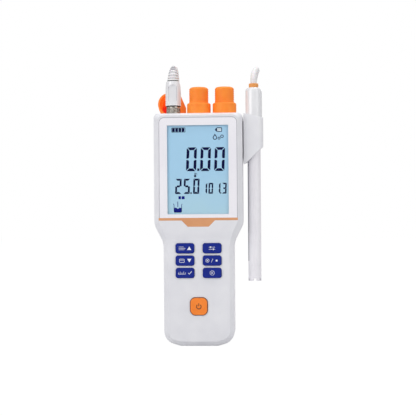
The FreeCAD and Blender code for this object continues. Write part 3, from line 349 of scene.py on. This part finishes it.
window_clear = window_plastic()
display_glass = lit_display()
board_green = circuit_board()
dark_ink = display_ink("display_segment_navy", "#02033a")
blue_ink = display_ink("display_symbol_blue", "#121c86")
pale_gap = display_ink("display_gap_pale", "#e3f2f9")


# Pieces that come from the CAD nodes

def placed(piece, body):
    """The finished piece rides on its body."""
    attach(piece, body)
    return piece


CREASE = math.radians(32)
FLAT_WITHIN = math.radians(0.4)


def rounded_copy(node, material, bevel_mm=0.0):
    """The node's shape as one closed mesh with soft shading and, where wanted, softened edges."""
    source = frame["nodes"][node]
    mesh = source.data.copy()
    mesh.name = node + "_finish"
    mesh.materials.clear()
    mesh.materials.append(material)
    work = bmesh.new()
    work.from_mesh(mesh)
    bmesh.ops.remove_doubles(work, verts=work.verts, dist=0.002 * MM)
    if bevel_mm:
        bmesh.ops.dissolve_limit(work, angle_limit=FLAT_WITHIN, verts=work.verts, edges=work.edges)
    for face in work.faces:
        face.smooth = True
    for edge in work.edges:
        edge.smooth = not (edge.is_manifold and edge.calc_face_angle(0) > CREASE)
    work.to_mesh(mesh)
    work.free()
    piece = bpy.data.objects.new(node + "_finish", mesh)
    bpy.context.scene.collection.objects.link(piece)
    if bevel_mm:
        bevel = piece.modifiers.new("softened_edges", "BEVEL")
        bevel.width = bevel_mm * MM
        bevel.segments = 2
        bevel.limit_method = "ANGLE"
        bevel.angle_limit = CREASE
        bevel.harden_normals = True
    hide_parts(node)
    placed(piece, body_of(source)[0])
    return piece


finishes = {
    "front_case": (abs_white, 0.25), "rear_case": (abs_white, 0.25), "battery_door": (abs_white, 0.2),
    "cap_hinge_rail": (abs_white, 0.15), "probe_holder": (abs_holder, 0.35), "display_panel": (panel_film, 0),
    "accent_strip": (orange_ink, 0), "clear_window": (window_clear, 0), "cap_left": (silicone_painted_glow, 0.25),
    "cap_middle": (silicone_orange, 0.25), "cap_right": (silicone_orange, 0.25), "plug_ring": (dark_streaked_nickel, 0),
    # The plug's insert is black nylon; where its nose shows in the gap under the shell, the black is also painted
    # shade
    "plug_insert": (black_nylon, 0), "plug_body": (gloss_white, 0.25), "plug_boot": (soft_pvc, 0.2),
    "probe_handle": (gloss_white, 0), "probe_ring": (orange_ring, 0), "probe_boot": (soft_pvc, 0),
    "probe_stem": (stem_white, 0), "membrane_cap": (stem_white, 0.2), "socket_left": (nickel, 0.15),
    "socket_middle": (nickel, 0.15), "socket_right": (nickel, 0.15), "socket_inserts": (black_nylon, 0.1),
    "case_screws": (zinc_steel, 0), "key_power": (key_orange, 0),
}
blue_keys = ("key_up", "key_set", "key_down", "key_measure", "key_enter", "key_cancel")
finishes.update({key: (key_blue, 0) for key in blue_keys})
dressed = {node: rounded_copy(node, *finish) for node, finish in finishes.items()}

inside = {
    "case_gasket": silicone_grey, "lcd_glass": display_glass, "lcd_backlight": backlight_sheet,
    "lcd_frame": white_nylon, "zebra_strip": silicone_grey, "main_board": board_green,
    "board_components": black_nylon, "board_screws": zinc_steel, "dome_switches": spring_steel,
    "keypad_membrane": silicone_grey, "socket_nuts": nickel, "socket_leads": lead_jacket,
    "probe_lead": lead_jacket, "sensor_core": cast_resin, "membrane_film": backlight_sheet,
    "battery_tray": white_nylon, "battery_cells": cell_sleeve, "battery_contacts": spring_steel,
    "battery_leads": lead_jacket,
}
for node, material in inside.items():
    frame["nodes"][node].data.materials.clear()
    frame["nodes"][node].data.materials.append(material)


# Painted shade: the power key's sides and rounded edge are brown, for the dark gap round the key

power_key = dressed["key_power"]
power_key.data.materials.append(key_edge_shade)
FACE_TILT = 0.93
for face in power_key.data.polygons:
    if face.normal.y > -FACE_TILT:
        face.material_index = 1


# Painted light and shade: the open cap is red inside, where its own walls light it, orange near its upper rim, and
# glows faintly

CAP_COLLAR_R = 10.9
CAP_HOLLOWS = ((7.25, 41.0), (9.3, 26.3))
CAP_MOUTH_Y = 17.8
LIGHT_SHIFT = (1.5, -3.3)
RED_REACH, ORANGE_REACH = 8.2, 9.8

cap_low, cap_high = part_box("cap_left")
CAP_AXIS = (cap_low.x / MM + CAP_COLLAR_R, cap_high.z / MM - CAP_COLLAR_R)

open_cap = dressed["cap_left"]
open_cap.data.materials.append(hollow_painted_light(
    (CAP_AXIS[0] + LIGHT_SHIFT[0], CAP_AXIS[1] + LIGHT_SHIFT[1]), RED_REACH, ORANGE_REACH))
for face in open_cap.data.polygons:
    middle = face.center / MM
    reach = math.hypot(middle.x - CAP_AXIS[0], middle.z - CAP_AXIS[1])
    if any(reach < radius and CAP_MOUTH_Y < middle.y < depth for radius, depth in CAP_HOLLOWS):
        face.material_index = 1


# Painted shade in the groove between the plug's shell and its boot

plug_low, plug_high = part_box("plug_body")
GROOVE_SHADE_DEPTH = 0.95
GROOVE_SHADE_WALL = 0.7

plug_shell = dressed["plug_body"]
plug_shell.data.materials.append(near_black_shade)
for face in plug_shell.data.polygons:
    if face.center.z > plug_high.z - GROOVE_SHADE_DEPTH * MM and abs(face.normal.z) < GROOVE_SHADE_WALL:
        face.material_index = 1


# Painted shade on the flanks of the strain relief's ribs

RIB_FLANK = 0.6

plug_relief = dressed["plug_boot"]
plug_relief.data.materials.append(rib_flank_shade)
for face in plug_relief.data.polygons:
    if abs(face.normal.z) > RIB_FLANK:
        face.material_index = 1


# The cord: one 4 mm lead from the plug to the probe, its spare length wound behind the grip

CORD_WIDTH = 4.0
COIL_CENTRE = (0.0, 48.0)
COIL_OUTER, COIL_INNER = 27.4, 14.5
COIL_UPPER_Z, COIL_LOWER_Z = 6.15, 2.05
COIL_LAYER_TURNS = 3.165
COIL_POINTS_PER_TURN = 16

plug_run = [
    (-23.65, 9.3, 255.1), (-23.65, 17.6, 257.4), (-23.65, 27.4, 257.7), (-23.65, 37.6, 254.3),
    (-23.6, 47.2, 246.5), (-23.5, 54.4, 234.2), (-23.2, 58.4, 217.0), (-22.6, 60.0, 190.0),
    (-21.8, 60.8, 148.0), (-22.3, 62.0, 104.0), (-24.0, 63.2, 66.0), (-25.8, 63.4, 42.0),
    (-26.8, 62.0, 26.5), (-27.3, 57.2, 15.0), (-27.4, 52.5, 9.0)]
probe_run = [
    (17.9, 26.7, 2.3), (22.8, 29.4, 3.5), (26.2, 33.4, 8.8), (26.8, 38.2, 17.5), (26.2, 42.4, 31.0),
    (25.6, 45.0, 50.0), (25.2, 45.6, 78.0), (25.6, 44.8, 116.0), (29.4, 43.6, 146.0), (36.4, 43.0, 167.0),
    (43.8, 42.2, 183.5), (47.8, 41.4, 200.0), (49.6, 40.4, 216.5), (50.4, 37.6, 232.8), (51.2, 31.6, 244.6),
    (52.8, 23.6, 251.2), (54.6, 15.4, 253.8), (53.4, 7.8, 252.7)]
CORD_JOIN = 7


def coil_turns():
    """The wound length: inwards on the upper layer, then outwards on the lower one."""
    count = round(COIL_LAYER_TURNS * COIL_POINTS_PER_TURN)
    swell = 1 / (0.75 + 0.25 * math.cos(2 * math.pi / COIL_POINTS_PER_TURN))
    points = []
    for i in range(1, 2 * count):
        share = i / count if i <= count else 2 - i / count
        r = (COIL_OUTER + (COIL_INNER - COIL_OUTER) * share) * swell
        drop = min(max((i - count + 2) / 4, 0), 1)
        turn = math.pi + 2 * math.pi * i / COIL_POINTS_PER_TURN
        points.append((COIL_CENTRE[0] + r * math.cos(turn), COIL_CENTRE[1] + r * math.sin(turn),
                       COIL_UPPER_Z + (COIL_LOWER_Z - COIL_UPPER_Z) * drop))
    return points


def cord_curve(name, points):
    """A round jacket along a smooth line with these control points."""
    curve = bpy.data.curves.new(name, "CURVE")
    curve.dimensions = "3D"
    curve.bevel_depth = CORD_WIDTH / 2 * MM
    curve.bevel_resolution = 3
    curve.resolution_u = 6
    curve.use_fill_caps = True
    spline = curve.splines.new("NURBS")
    spline.points.add(len(points) - 1)
    for place, point in zip(points, spline.points):
        point.co = [c * MM for c in place] + [1.0]
    spline.order_u = 3
    spline.use_endpoint_u = True
    curve.materials.append(soft_pvc)
    piece = bpy.data.objects.new(name, curve)
    bpy.context.scene.collection.objects.link(piece)
    return piece


def as_mesh(piece):
    """The piece with its modifiers or its curve turned into a plain mesh, under its own name."""
    name = piece.name
    bpy.context.view_layer.update()
    mesh = bpy.data.meshes.new_from_object(piece.evaluated_get(bpy.context.evaluated_depsgraph_get()))
    bpy.data.objects.remove(piece)
    solid = bpy.data.objects.new(name, mesh)
    bpy.context.scene.collection.objects.link(solid)
    return solid


def centreline(points):
    """The smooth line itself, read from the same curve without its jacket."""
    guide = cord_curve("cord_guide", points)
    guide.data.bevel_depth = 0.0
    bpy.context.view_layer.update()
    mesh = bpy.data.meshes.new_from_object(guide.evaluated_get(bpy.context.evaluated_depsgraph_get()))
    line = [tuple(vertex.co) for vertex in mesh.vertices]
    bpy.data.objects.remove(guide)
    return line


def cord_piece(name, points, bodies, start, end, nodes):
    """A stretch of the cord that bends between two bodies."""
    line = centreline(points)
    piece = as_mesh(cord_curve(name, points))
    for face in piece.data.polygons:
        face.use_smooth = True
    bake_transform(piece, bodies[0], bodies[1], start=Vector(start) * MM, end=Vector(end) * MM)
    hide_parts(*nodes)
    return piece


plug_points = plug_run + coil_turns()
cord_piece("cord_plug_and_coil", plug_points, ("plug", "root"), plug_run[0], plug_run[7],
           ["plug_cord_upper", "plug_cord_lower", "cord_coil"])


for name, points, bodies, nodes in (
        ("cord_to_holder", probe_run[:CORD_JOIN + 1], ("root", "probe_holder"), ["probe_cord_lower"]),
        ("cord_to_probe", probe_run[CORD_JOIN:], ("probe_holder", "probe"), ["probe_cord_upper"])):
    cord_piece(name, points, bodies, points[0], points[-1], nodes)


# Flat shapes: display segments, symbols, printed lines and lines of painted shade, as thin closed plates

def flat_plates(name, shapes, front_y, back_y, material):
    """A plate for each outline of (x, z) corners, between two depths."""
    work = bmesh.new()
    for outline in shapes:
        front = [work.verts.new((x * MM, front_y * MM, z * MM)) for x, z in outline]
        back = [work.verts.new((x * MM, back_y * MM, z * MM)) for x, z in outline]
        work.faces.new(front)
        work.faces.new(back[::-1])
        for i in range(len(front)):
            j = (i + 1) % len(front)
            work.faces.new((front[i], back[i], back[j], front[j]))
    bmesh.ops.recalc_face_normals(work, faces=work.faces)
    mesh = bpy.data.meshes.new(name)
    work.to_mesh(mesh)
    work.free()
    mesh.materials.append(material)
    piece = bpy.data.objects.new(name, mesh)
    bpy.context.scene.collection.objects.link(piece)
    return piece


def drawn_line(points, width, closed=False):
    """Four-sided pieces of a line with mitred joints through the points."""
    count = len(points)
    sides = []
    for i, point in enumerate(points):
        here = Vector(point)
        before = Vector(points[i - 1]) if closed or i else None
        after = Vector(points[(i + 1) % count]) if closed or i < count - 1 else None
        come = (here - before).normalized() if before is not None else (after - here).normalized()
        go = (after - here).normalized() if after is not None else come
        across = Vector((-(come + go).y, (come + go).x)).normalized()
        reach = width / 2 / max(across.dot(Vector((-come.y, come.x))), 0.3)
        sides.append((here + across * reach, here - across * reach))
    last = count if closed else count - 1
    return [[sides[i][0], sides[i][1], sides[(i + 1) % count][1], sides[(i + 1) % count][0]] for i in range(last)]


def arc(x, z, r, start_deg, end_deg, steps=24):
    return [(x + r * math.cos(math.radians(start_deg + (end_deg - start_deg) * i / steps)),
             z + r * math.sin(math.radians(start_deg + (end_deg - start_deg) * i / steps)))
            for i in range(steps + 1)]


def rounded_box(x, z, width, height, r, steps=6):
    """The corners of a rounded rectangle about its middle."""
    w, h = width / 2 - r, height / 2 - r
    return [point for cx, cz, start in ((w, h, 0), (-w, h, 90), (-w, -h, 180), (w, -h, 270))
            for point in arc(x + cx, z + cz, r, start, start + 90, steps)]


def plain_box(x0, x1, z0, z1):
    return [(x0, z0), (x1, z0), (x1, z1), (x0, z1)]


LIT_SEGMENTS = {"0": "abcdef", "1": "bc", "2": "abged", "3": "abgcd", "5": "afgcd"}


NUMERAL_SLANT = 0.043
LARGE_GAP, SMALL_GAP = 0.14, 0.05


def digit(character, x, z, width, height, stroke, gap):
    """The lit segments of one seven-segment numeral whose lower left corner is at (x, z)."""
    w, h, t, g = width, height, stroke, stroke * gap
    m = h / 2
    waist = m + g * 1.9
    corner = g * 1.85
    upper_right = [(w, h - corner), (w, waist), (w - t * 0.6, waist), (w - t, waist + t * 0.35), (w - t, h - t - g)]
    shapes = {
        "a": [(corner, h), (w - corner, h), (w - t - g, h - t), (t + g, h - t)],
        "b": upper_right,
        "c": [(px, h - pz) for px, pz in upper_right],
        "f": [(w - px, pz) for px, pz in upper_right],
        "e": [(w - px, h - pz) for px, pz in upper_right],
        "d": [(corner, 0), (w - corner, 0), (w - t - g, t), (t + g, t)],
        "g": [(t * 0.6 + g, m), (t + g, m + t / 2), (w - t - g, m + t / 2), (w - t * 0.6 - g, m),
              (w - t - g, m - t / 2), (t + g, m - t / 2)],
    }
    return [[(x + px + pz * NUMERAL_SLANT, z + pz) for px, pz in shapes[s]] for s in LIT_SEGMENTS[character]]


LCD_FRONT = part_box("lcd_glass")[0].y / MM
LCD_INK = 0.015
READING_FOOT, SMALL_FOOT = 158.4, 137.9
BATTERY = (19.5, 195.7)
DROP = (15.6, 189.2)
BUBBLES = ((19.3, 188.0, 0.95), (22.0, 189.7, 1.2))
BULB = (-2.6, 154.0)
BADGE_Z = 134.5


def display_segments():
    """Plain numerals: a large reading, and two small ones under it."""
    shapes = []
    for x in (-10.9, 1.85, 14.6):
        shapes += digit("0", x, READING_FOOT, 9.25, 21.5, 2.5, LARGE_GAP)
    shapes.append(plain_box(-0.6, 1.3, READING_FOOT + 0.2, READING_FOOT + 2.4))
    for character, x in zip("250", (-20.95, -13.3, -4.7)):
        shapes += digit(character, x, SMALL_FOOT, 5.6, 13.7, 1.7, SMALL_GAP)
    shapes.append(plain_box(-7.0, -5.7, SMALL_FOOT, SMALL_FOOT + 1.4))
    for character, x in zip("1013", (3.9, 9.3, 15.9, 21.5)):
        shapes += digit(character, x, SMALL_FOOT, 4.1, 9.8, 1.35, SMALL_GAP)
    shapes.append(plain_box(20.1, 21.0, SMALL_FOOT, SMALL_FOOT + 1.1))
    return shapes


def display_symbols():
    """The battery with its knob, and the four-block level bar in its frame."""
    shapes = drawn_line(rounded_box(*BATTERY, 4.5, 3.6, 0.7, 3), 0.6, closed=True)
    shapes.append(arc(17.2, BATTERY[1], 1.45, 100, 260, 10))
    shapes += drawn_line(rounded_box(-17.5, 195.8, 12.4, 4.0, 0.3, 2), 0.35, closed=True)
    for i in range(4):
        x = -23.2 + 2.92 * i
        shapes.append(plain_box(x, x + 2.45, 194.1, 197.5))
    return shapes


def water_drop(x, z, width, height):
    """The outline of a drop with its point at the top."""
    r = width / 2
    low = z - height / 2 + r
    return drawn_line(arc(x, low, r, 150, 390, 14) + [(x, z + height / 2)], 0.7, closed=True)


def display_units():
    """A drop beside two bubbles over the large reading, and a thermometer over the small one."""
    shapes = water_drop(*DROP, 3.2, 4.6)
    for x, z, r in BUBBLES:
        shapes += drawn_line(arc(x, z, r, 0, 360, 14)[:-1], 0.6, closed=True)
    shapes.append(arc(*BULB, 1.05, 0, 360, 12)[:-1])
    shapes.append(plain_box(-3.05, -2.15, 154.4, 156.9))
    shapes += [plain_box(-1.7, -0.7, z - 0.22, z + 0.22) for z in (155.1, 156.3)]
    return shapes


def display_pictures():
    """Two small plain blocks, and a beaker with a probe standing in it, in blue."""
    shapes = [rounded_box(-16.7, BADGE_Z, 2.3, 2.7, 0.3, 2), rounded_box(-13.6, BADGE_Z, 2.7, 2.7, 0.3, 2)]
    shapes += drawn_line([(-22.5, 129.0), (-21.9, 127.9), (-21.9, 122.0), (-21.3, 121.3), (-15.7, 121.3),
                          (-15.1, 122.0), (-15.1, 127.9), (-14.5, 129.0)], 0.5)
    shapes.append([(-21.9, 121.2), (-15.1, 121.2), (-15.1, 125.4), (-17.2, 125.4), (-18.5, 124.3),
                   (-19.8, 125.4), (-21.9, 125.4)])
    shapes += drawn_line([(-18.5, 131.0), (-18.5, 126.0)], 0.6)
    return shapes


for name, shapes, ink in (("display_numerals", display_segments(), dark_ink),
                          ("display_level_and_battery", display_symbols(), dark_ink),
                          ("display_unit_marks", display_units(), dark_ink),
                          ("display_battery_gap", [rounded_box(*BATTERY, 3.5, 2.6, 0.4, 3)], pale_gap),
                          ("display_pictures", display_pictures(), blue_ink)):
    placed(flat_plates(name, shapes, LCD_FRONT - 2 * LCD_INK, LCD_FRONT - LCD_INK, ink), "root")


# Painted shade: a grey line round the panel, along its edge

FRONT_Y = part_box("display_panel")[0].y / MM
panel_low, panel_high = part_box("display_panel")


def panel_line():
    """A line of painted shade up one side of the panel, over its rounded top and down the other side."""
    inset, r = 0.35, 4.7
    left, right = panel_low.x / MM + 2 * inset, panel_high.x / MM - inset
    low, top = panel_low.z / MM, panel_high.z / MM - inset
    path = [(right, low)] + arc(right - r, top - r, r, 0, 90, 8) + arc(left + r, top - r, r, 90, 180, 8)
    return drawn_line(path + [(left, low)], 0.5)


SHADE_LINE_PROUD = 0.02
placed(flat_plates("panel_border_line", panel_line(), FRONT_Y - SHADE_LINE_PROUD, FRONT_Y + SHADE_LINE_PROUD, edge_shade_grey),
       "root")


# Pictures on the keys

KEY_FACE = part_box("key_up")[0].y / MM
PRINT = 0.03


def key_middle(key):
    low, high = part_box(key)
    return (low.x + high.x) / 2 / MM, (low.z + high.z) / 2 / MM


def triangle(x, z, size, up):
    return [(x - size * 0.6, z - up * size / 2), (x + size * 0.6, z - up * size / 2), (x, z + up * size / 2)]


def cross(x, z, half, width):
    return (drawn_line([(x - half, z - half), (x + half, z + half)], width)
            + drawn_line([(x - half, z + half), (x + half, z - half)], width))


def ring(x, z, r, width):
    return drawn_line(arc(x, z, r, 0, 360, 20)[:-1], width, closed=True)


def key_print(key):
    """The white marks of one key."""
    x, z = key_middle(key)
    fine = 0.32
    if key == "key_up":
        rows = ((1.25, 4.6), (0.0, 6.2), (-1.25, 5.4))
        shapes = [plain_box(x - 5.6, x - 5.6 + long, z + rise - fine / 2, z + rise + fine / 2) for rise, long in rows]
        return shapes + [triangle(x + 4.0, z + 0.1, 3.2, 1)]
    if key == "key_down":
        shapes = drawn_line(rounded_box(x - 2.7, z, 4.4, 3.0, 0.4, 2), fine, closed=True)
        shapes += drawn_line([(x - 4.9, z + 0.5), (x - 0.5, z + 0.5)], fine)
        return shapes + [triangle(x + 4.0, z + 0.1, 3.2, -1)]
    if key == "key_enter":
        shapes = drawn_line([(x - 6.2, z - 1.0), (x + 0.6, z - 1.0)], fine)
        shapes += [plain_box(x - 6.1 + 1.6 * i, x - 6.1 + 1.6 * i + fine, z - 0.9, z + 0.5 + 0.8 * (i % 2))
                   for i in range(5)]
        return shapes + drawn_line([(x + 2.8, z + 0.1), (x + 3.9, z - 1.0), (x + 6.2, z + 1.4)], 0.5)
    if key == "key_set":
        shapes = []
        for rise, knob in ((0.95, -1.3), (-0.95, 1.3)):
            shapes += drawn_line([(x - 2.9, z + rise), (x + 2.9, z + rise)], fine)
            shapes.append(arc(x + knob, z + rise, 0.75, 0, 360, 12)[:-1])
        return shapes
    if key == "key_measure":
        shapes = ring(x - 4.2, z, 1.5, fine) + [arc(x - 4.2, z, 0.6, 0, 360, 12)[:-1]]
        shapes += drawn_line([(x - 0.7, z - 1.6), (x + 0.7, z + 1.6)], fine)
        return shapes + [plain_box(x + 3.3, x + 4.9, z - 0.8, z + 0.8)]
    return ring(x, z, 2.0, fine) + cross(x, z, 0.85, fine)


for key in blue_keys:
    placed(flat_plates(key + "_mark", key_print(key), KEY_FACE - PRINT, KEY_FACE + PRINT, white_ink),
           key)


def power_mark():
    """An open ring with a stroke through its gap."""
    x, z = key_middle("key_power")
    shapes = drawn_line(arc(x, z - 0.15, 2.05, 128, 412), 0.8)
    shapes.append(plain_box(x - 0.35, x + 0.35, z + 0.1, z + 2.9))
    return shapes


placed(flat_plates("key_power_mark", power_mark(), KEY_FACE - PRINT, KEY_FACE + PRINT, brown_ink),
       "key_power")


# Painted shade: the dark line that runs down the stem's left side

stem_low, stem_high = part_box("probe_stem")
STEM_LINE_FROM, STEM_LINE_TO = 193, 211
STEM_LINE_PROUD = 0.02
STEM_LINE_STEP = 3
STEM_LINE_FOOT = 12


def stem_shade_line():
    """A thin strip of painted shade that follows the tube between two angles, from under the handle to the tip."""
    x, y = ((stem_low + stem_high) / 2).xy
    r = (stem_high.x - stem_low.x) / 2 + STEM_LINE_PROUD * MM
    low, high = stem_low.z + STEM_LINE_FOOT * MM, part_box("probe_handle")[0].z
    work = bmesh.new()
    angles = list(range(STEM_LINE_FROM, STEM_LINE_TO + 1, STEM_LINE_STEP))
    edges = []
    for radius in (r, r - 3 * STEM_LINE_PROUD * MM):
        for angle in angles if radius == r else angles[::-1]:
            turn = math.radians(angle)
            edges.append((x + radius * math.cos(turn), y + radius * math.sin(turn)))
    bottom = [work.verts.new((px, py, low)) for px, py in edges]
    top = [work.verts.new((px, py, high)) for px, py in edges]
    work.faces.new(bottom)
    work.faces.new(top[::-1])
    for i in range(len(edges)):
        j = (i + 1) % len(edges)
        work.faces.new((bottom[i], top[i], top[j], bottom[j]))
    bmesh.ops.recalc_face_normals(work, faces=work.faces)
    mesh = bpy.data.meshes.new("stem_shade_line")
    work.to_mesh(mesh)
    work.free()
    mesh.materials.append(stem_shade_grey)
    piece = bpy.data.objects.new("stem_shade_line", mesh)
    bpy.context.scene.collection.objects.link(piece)
    return piece


placed(stem_shade_line(), "probe")


# Knurl on the plug's coupling ring, made once and turned round it

def ring_of_ribs(name, count, radius, low, high, width, height, middle, material):
    """A tree that sets equal ribs round an upright ring, turned into a plain mesh."""
    tree = bpy.data.node_groups.new(name, "GeometryNodeTree")
    tree.interface.new_socket("Geometry", in_out="OUTPUT", socket_type="NodeSocketGeometry")
    sockets = {}
    for label, kind, value in (("Ribs", "NodeSocketInt", count), ("Radius", "NodeSocketFloat", radius * MM),
                               ("Width", "NodeSocketFloat", width * MM), ("Height", "NodeSocketFloat", height * MM),
                               ("Length", "NodeSocketFloat", (high - low) * MM)):
        sockets[label] = tree.interface.new_socket(label, in_out="INPUT", socket_type=kind).identifier
    given = add(tree, "NodeGroupInput").outputs
    circle = add(tree, "GeometryNodeMeshCircle", inputs={"Vertices": given["Ribs"], "Radius": given["Radius"]})
    size = add(tree, "ShaderNodeCombineXYZ", inputs={"X": given["Height"], "Y": given["Width"],
                                                     "Z": given["Length"]})
    rib = add(tree, "GeometryNodeMeshCylinder", inputs={"Vertices": 6, "Radius": 0.5, "Depth": 1.0})
    scaled = add(tree, "GeometryNodeTransform", inputs={"Geometry": rib.outputs["Mesh"],
                                                        "Scale": size.outputs["Vector"]})
    turn = add(tree, "FunctionNodeAlignRotationToVector", {"axis": "X"},
               {"Vector": add(tree, "GeometryNodeInputPosition").outputs["Position"]})
    spread_ribs = add(tree, "GeometryNodeInstanceOnPoints", inputs={
        "Points": circle.outputs["Mesh"], "Instance": scaled.outputs["Geometry"],
        "Rotation": turn.outputs["Rotation"]})
    solid = add(tree, "GeometryNodeRealizeInstances", inputs={"Geometry": spread_ribs.outputs["Instances"]})
    coated = add(tree, "GeometryNodeSetMaterial", inputs={"Geometry": solid.outputs["Geometry"],
                                                          "Material": material})
    add(tree, "NodeGroupOutput", inputs={"Geometry": coated.outputs["Geometry"]})
    piece = bpy.data.objects.new(name, bpy.data.meshes.new(name))
    bpy.context.scene.collection.objects.link(piece)
    modifier = piece.modifiers.new(name, "NODES")
    modifier.node_group = tree
    for label, value in (("Ribs", count), ("Radius", radius * MM), ("Width", width * MM),
                         ("Height", height * MM), ("Length", (high - low) * MM)):
        modifier[sockets[label]] = value
    piece = as_mesh(piece)
    piece.data.transform(Matrix.Translation(Vector((middle[0], middle[1], (low + high) / 2)) * MM))
    return piece


ring_low, ring_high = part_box("plug_ring")
RING_MIDDLE = ((ring_low.x + ring_high.x) / 2 / MM, (ring_low.y + ring_high.y) / 2 / MM)
RING_RADIUS = (ring_high.x - ring_low.x) / 2 / MM
KNURL_RIBS, KNURL_WIDTH = 40, 0.5
KNURL_LOW, KNURL_HIGH = ring_low.z / MM + 0.6, ring_high.z / MM - 1.6
placed(ring_of_ribs("plug_ring_knurl", KNURL_RIBS, RING_RADIUS, KNURL_LOW, KNURL_HIGH, KNURL_WIDTH, KNURL_WIDTH,
                    RING_MIDDLE, dark_streaked_nickel), "plug_ring")


# Painted shade: a dark ring where the gap between the plug's shell and its coupling ring shows as a dark line

SHADE_RING_R, SHADE_RING_THICK, SHADE_RING_DROP = 6.3, 1.1, 0.3


def plug_shade_ring():
    """A ring of round cord, near-black: painted shade in the gap over the coupling ring."""
    curve = bpy.data.curves.new("plug_shade_ring", "CURVE")
    curve.dimensions = "3D"
    curve.bevel_depth = SHADE_RING_THICK / 2 * MM
    curve.bevel_resolution = 3
    curve.resolution_u = 6
    curve.materials.append(near_black_shade)
    spline = curve.splines.new("NURBS")
    corners = [(SHADE_RING_R * math.cos(math.pi * i / 6), SHADE_RING_R * math.sin(math.pi * i / 6)) for i in range(12)]
    spline.points.add(len(corners) - 1)
    for (x, y), point in zip(corners, spline.points):
        point.co = ((RING_MIDDLE[0] + x) * MM, (RING_MIDDLE[1] + y) * MM, plug_low.z - SHADE_RING_DROP * MM, 1.0)
    spline.order_u = 3
    spline.use_cyclic_u = True
    piece = bpy.data.objects.new("plug_shade_ring", curve)
    bpy.context.scene.collection.objects.link(piece)
    return as_mesh(piece)


placed(plug_shade_ring(), "plug")


# Painted shade: a grey arch along the edge of the plug's flat front; and the door's raised arrow

ARCH_FOOT, ARCH_SPRING, ARCH_R, ARCH_LINE = 4.2, 16.3, 3.6, 0.28


def plug_arch():
    """A line of painted shade up one side, over a half round and down the other side."""
    x = (plug_low.x + plug_high.x) / 2 / MM
    foot, spring = plug_low.z / MM + ARCH_FOOT, plug_low.z / MM + ARCH_SPRING
    path = [(x - ARCH_R, foot), (x - ARCH_R, spring)] + arc(x, spring, ARCH_R, 180, 0, 12) + [(x + ARCH_R, foot)]
    return drawn_line(path, ARCH_LINE)


PLUG_FLAT_Y = -3.7
placed(flat_plates("plug_arch_line", plug_arch(), PLUG_FLAT_Y - SHADE_LINE_PROUD, PLUG_FLAT_Y + SHADE_LINE_PROUD, edge_shade_grey),
       "plug")

DOOR_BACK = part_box("battery_door")[1].y / MM
DOOR_ARROW_Z, DOOR_ARROW_SIZE = 64.5, 3.4
ARROW_SUNK, ARROW_PROUD = 0.05, 0.25
door_arrow = [triangle(0.0, DOOR_ARROW_Z, DOOR_ARROW_SIZE, -1)]
placed(flat_plates("door_arrow", door_arrow, DOOR_BACK - ARROW_SUNK, DOOR_BACK + ARROW_PROUD, abs_white),
       "battery_door")


# Floor, background and light

SEEN_WHITE_SHARE = 0.93
SEEN_WHITE_LEVEL = 1.05


def floor_paint():
    """Pale board: the camera, gloss and glass see it almost white, and it keeps the meter's soft shadow."""
    material = blank("pale_board")
    tree = material.node_tree
    path = add(tree, "ShaderNodeLightPath").outputs
    seen = add(tree, "ShaderNodeMath", {"operation": "MAXIMUM"})
    tree.links.new(path["Is Camera Ray"], seen.inputs[0])
    tree.links.new(path["Is Glossy Ray"], seen.inputs[1])
    seen_all = add(tree, "ShaderNodeMath", {"operation": "MAXIMUM"})
    tree.links.new(seen.outputs[0], seen_all.inputs[0])
    tree.links.new(path["Is Transmission Ray"], seen_all.inputs[1])
    share = add(tree, "ShaderNodeMath", {"operation": "MULTIPLY"})
    tree.links.new(seen_all.outputs[0], share.inputs[0])
    share.inputs[1].default_value = SEEN_WHITE_SHARE
    matt = add(tree, "ShaderNodeBsdfDiffuse", inputs={"Color": colour("#cfcfd1")})
    white = add(tree, "ShaderNodeEmission", inputs={"Color": (1, 1, 1, 1), "Strength": SEEN_WHITE_LEVEL})
    both = add(tree, "ShaderNodeMixShader", inputs={"Fac": share.outputs[0]})
    tree.links.new(matt.outputs[0], both.inputs[1])
    tree.links.new(white.outputs[0], both.inputs[2])
    output(tree, both.outputs[0])
    return material


FLOOR_HALF = 3.0
floor_mesh = bpy.data.meshes.new("floor")
floor_mesh.from_pydata([(-FLOOR_HALF, -FLOOR_HALF, 0), (FLOOR_HALF, -FLOOR_HALF, 0),
                        (FLOOR_HALF, FLOOR_HALF, 0), (-FLOOR_HALF, FLOOR_HALF, 0)], [], [(0, 1, 2, 3)])
floor_mesh.materials.append(floor_paint())
floor = bpy.data.objects.new("floor", floor_mesh)
bpy.context.scene.collection.objects.link(floor)

WORLD_LEVEL = 0.59

world = bpy.data.worlds.new("studio")
bpy.context.scene.world = world
world.use_nodes = True
sky = world.node_tree
sky.nodes.clear()
rays = add(sky, "ShaderNodeLightPath").outputs
shown = add(sky, "ShaderNodeMath", {"operation": "MAXIMUM"})
sky.links.new(rays["Is Camera Ray"], shown.inputs[0])
sky.links.new(rays["Is Transmission Ray"], shown.inputs[1])
level = add(sky, "ShaderNodeMapRange", inputs={"Value": shown.outputs[0], "To Min": WORLD_LEVEL, "To Max": 1.0})
air = add(sky, "ShaderNodeBackground", inputs={"Color": (1, 1, 1, 1), "Strength": level.outputs["Result"]})
add(sky, "ShaderNodeOutputWorld", inputs={"Surface": air.outputs["Background"]})


def lamp(name, place, aim, size, watts):
    """A square soft lamp that faces a point, in metres."""
    light = bpy.data.lights.new(name, "AREA")
    light.size = size
    light.energy = watts
    piece = bpy.data.objects.new(name, light)
    piece.location = place
    piece.rotation_mode = "QUATERNION"
    piece.rotation_quaternion = (Vector(aim) - Vector(place)).to_track_quat("-Z", "Y")
    bpy.context.scene.collection.objects.link(piece)


METER_MIDDLE = (0.0, 0.0, 0.12)
lamp("lamp_front_left", (-1.15, -1.15, 0.9), METER_MIDDLE, 0.9, 10.4)
lamp("lamp_front_right", (1.25, -0.95, 0.5), METER_MIDDLE, 0.9, 3.9)
lamp("lamp_top", (0.1, -0.1, 1.3), METER_MIDDLE, 0.8, 5.5)
lamp("lamp_back", (0.3, 1.4, 0.9), METER_MIDDLE, 0.9, 5.5)

bpy.context.scene.view_settings.view_transform = "Standard"
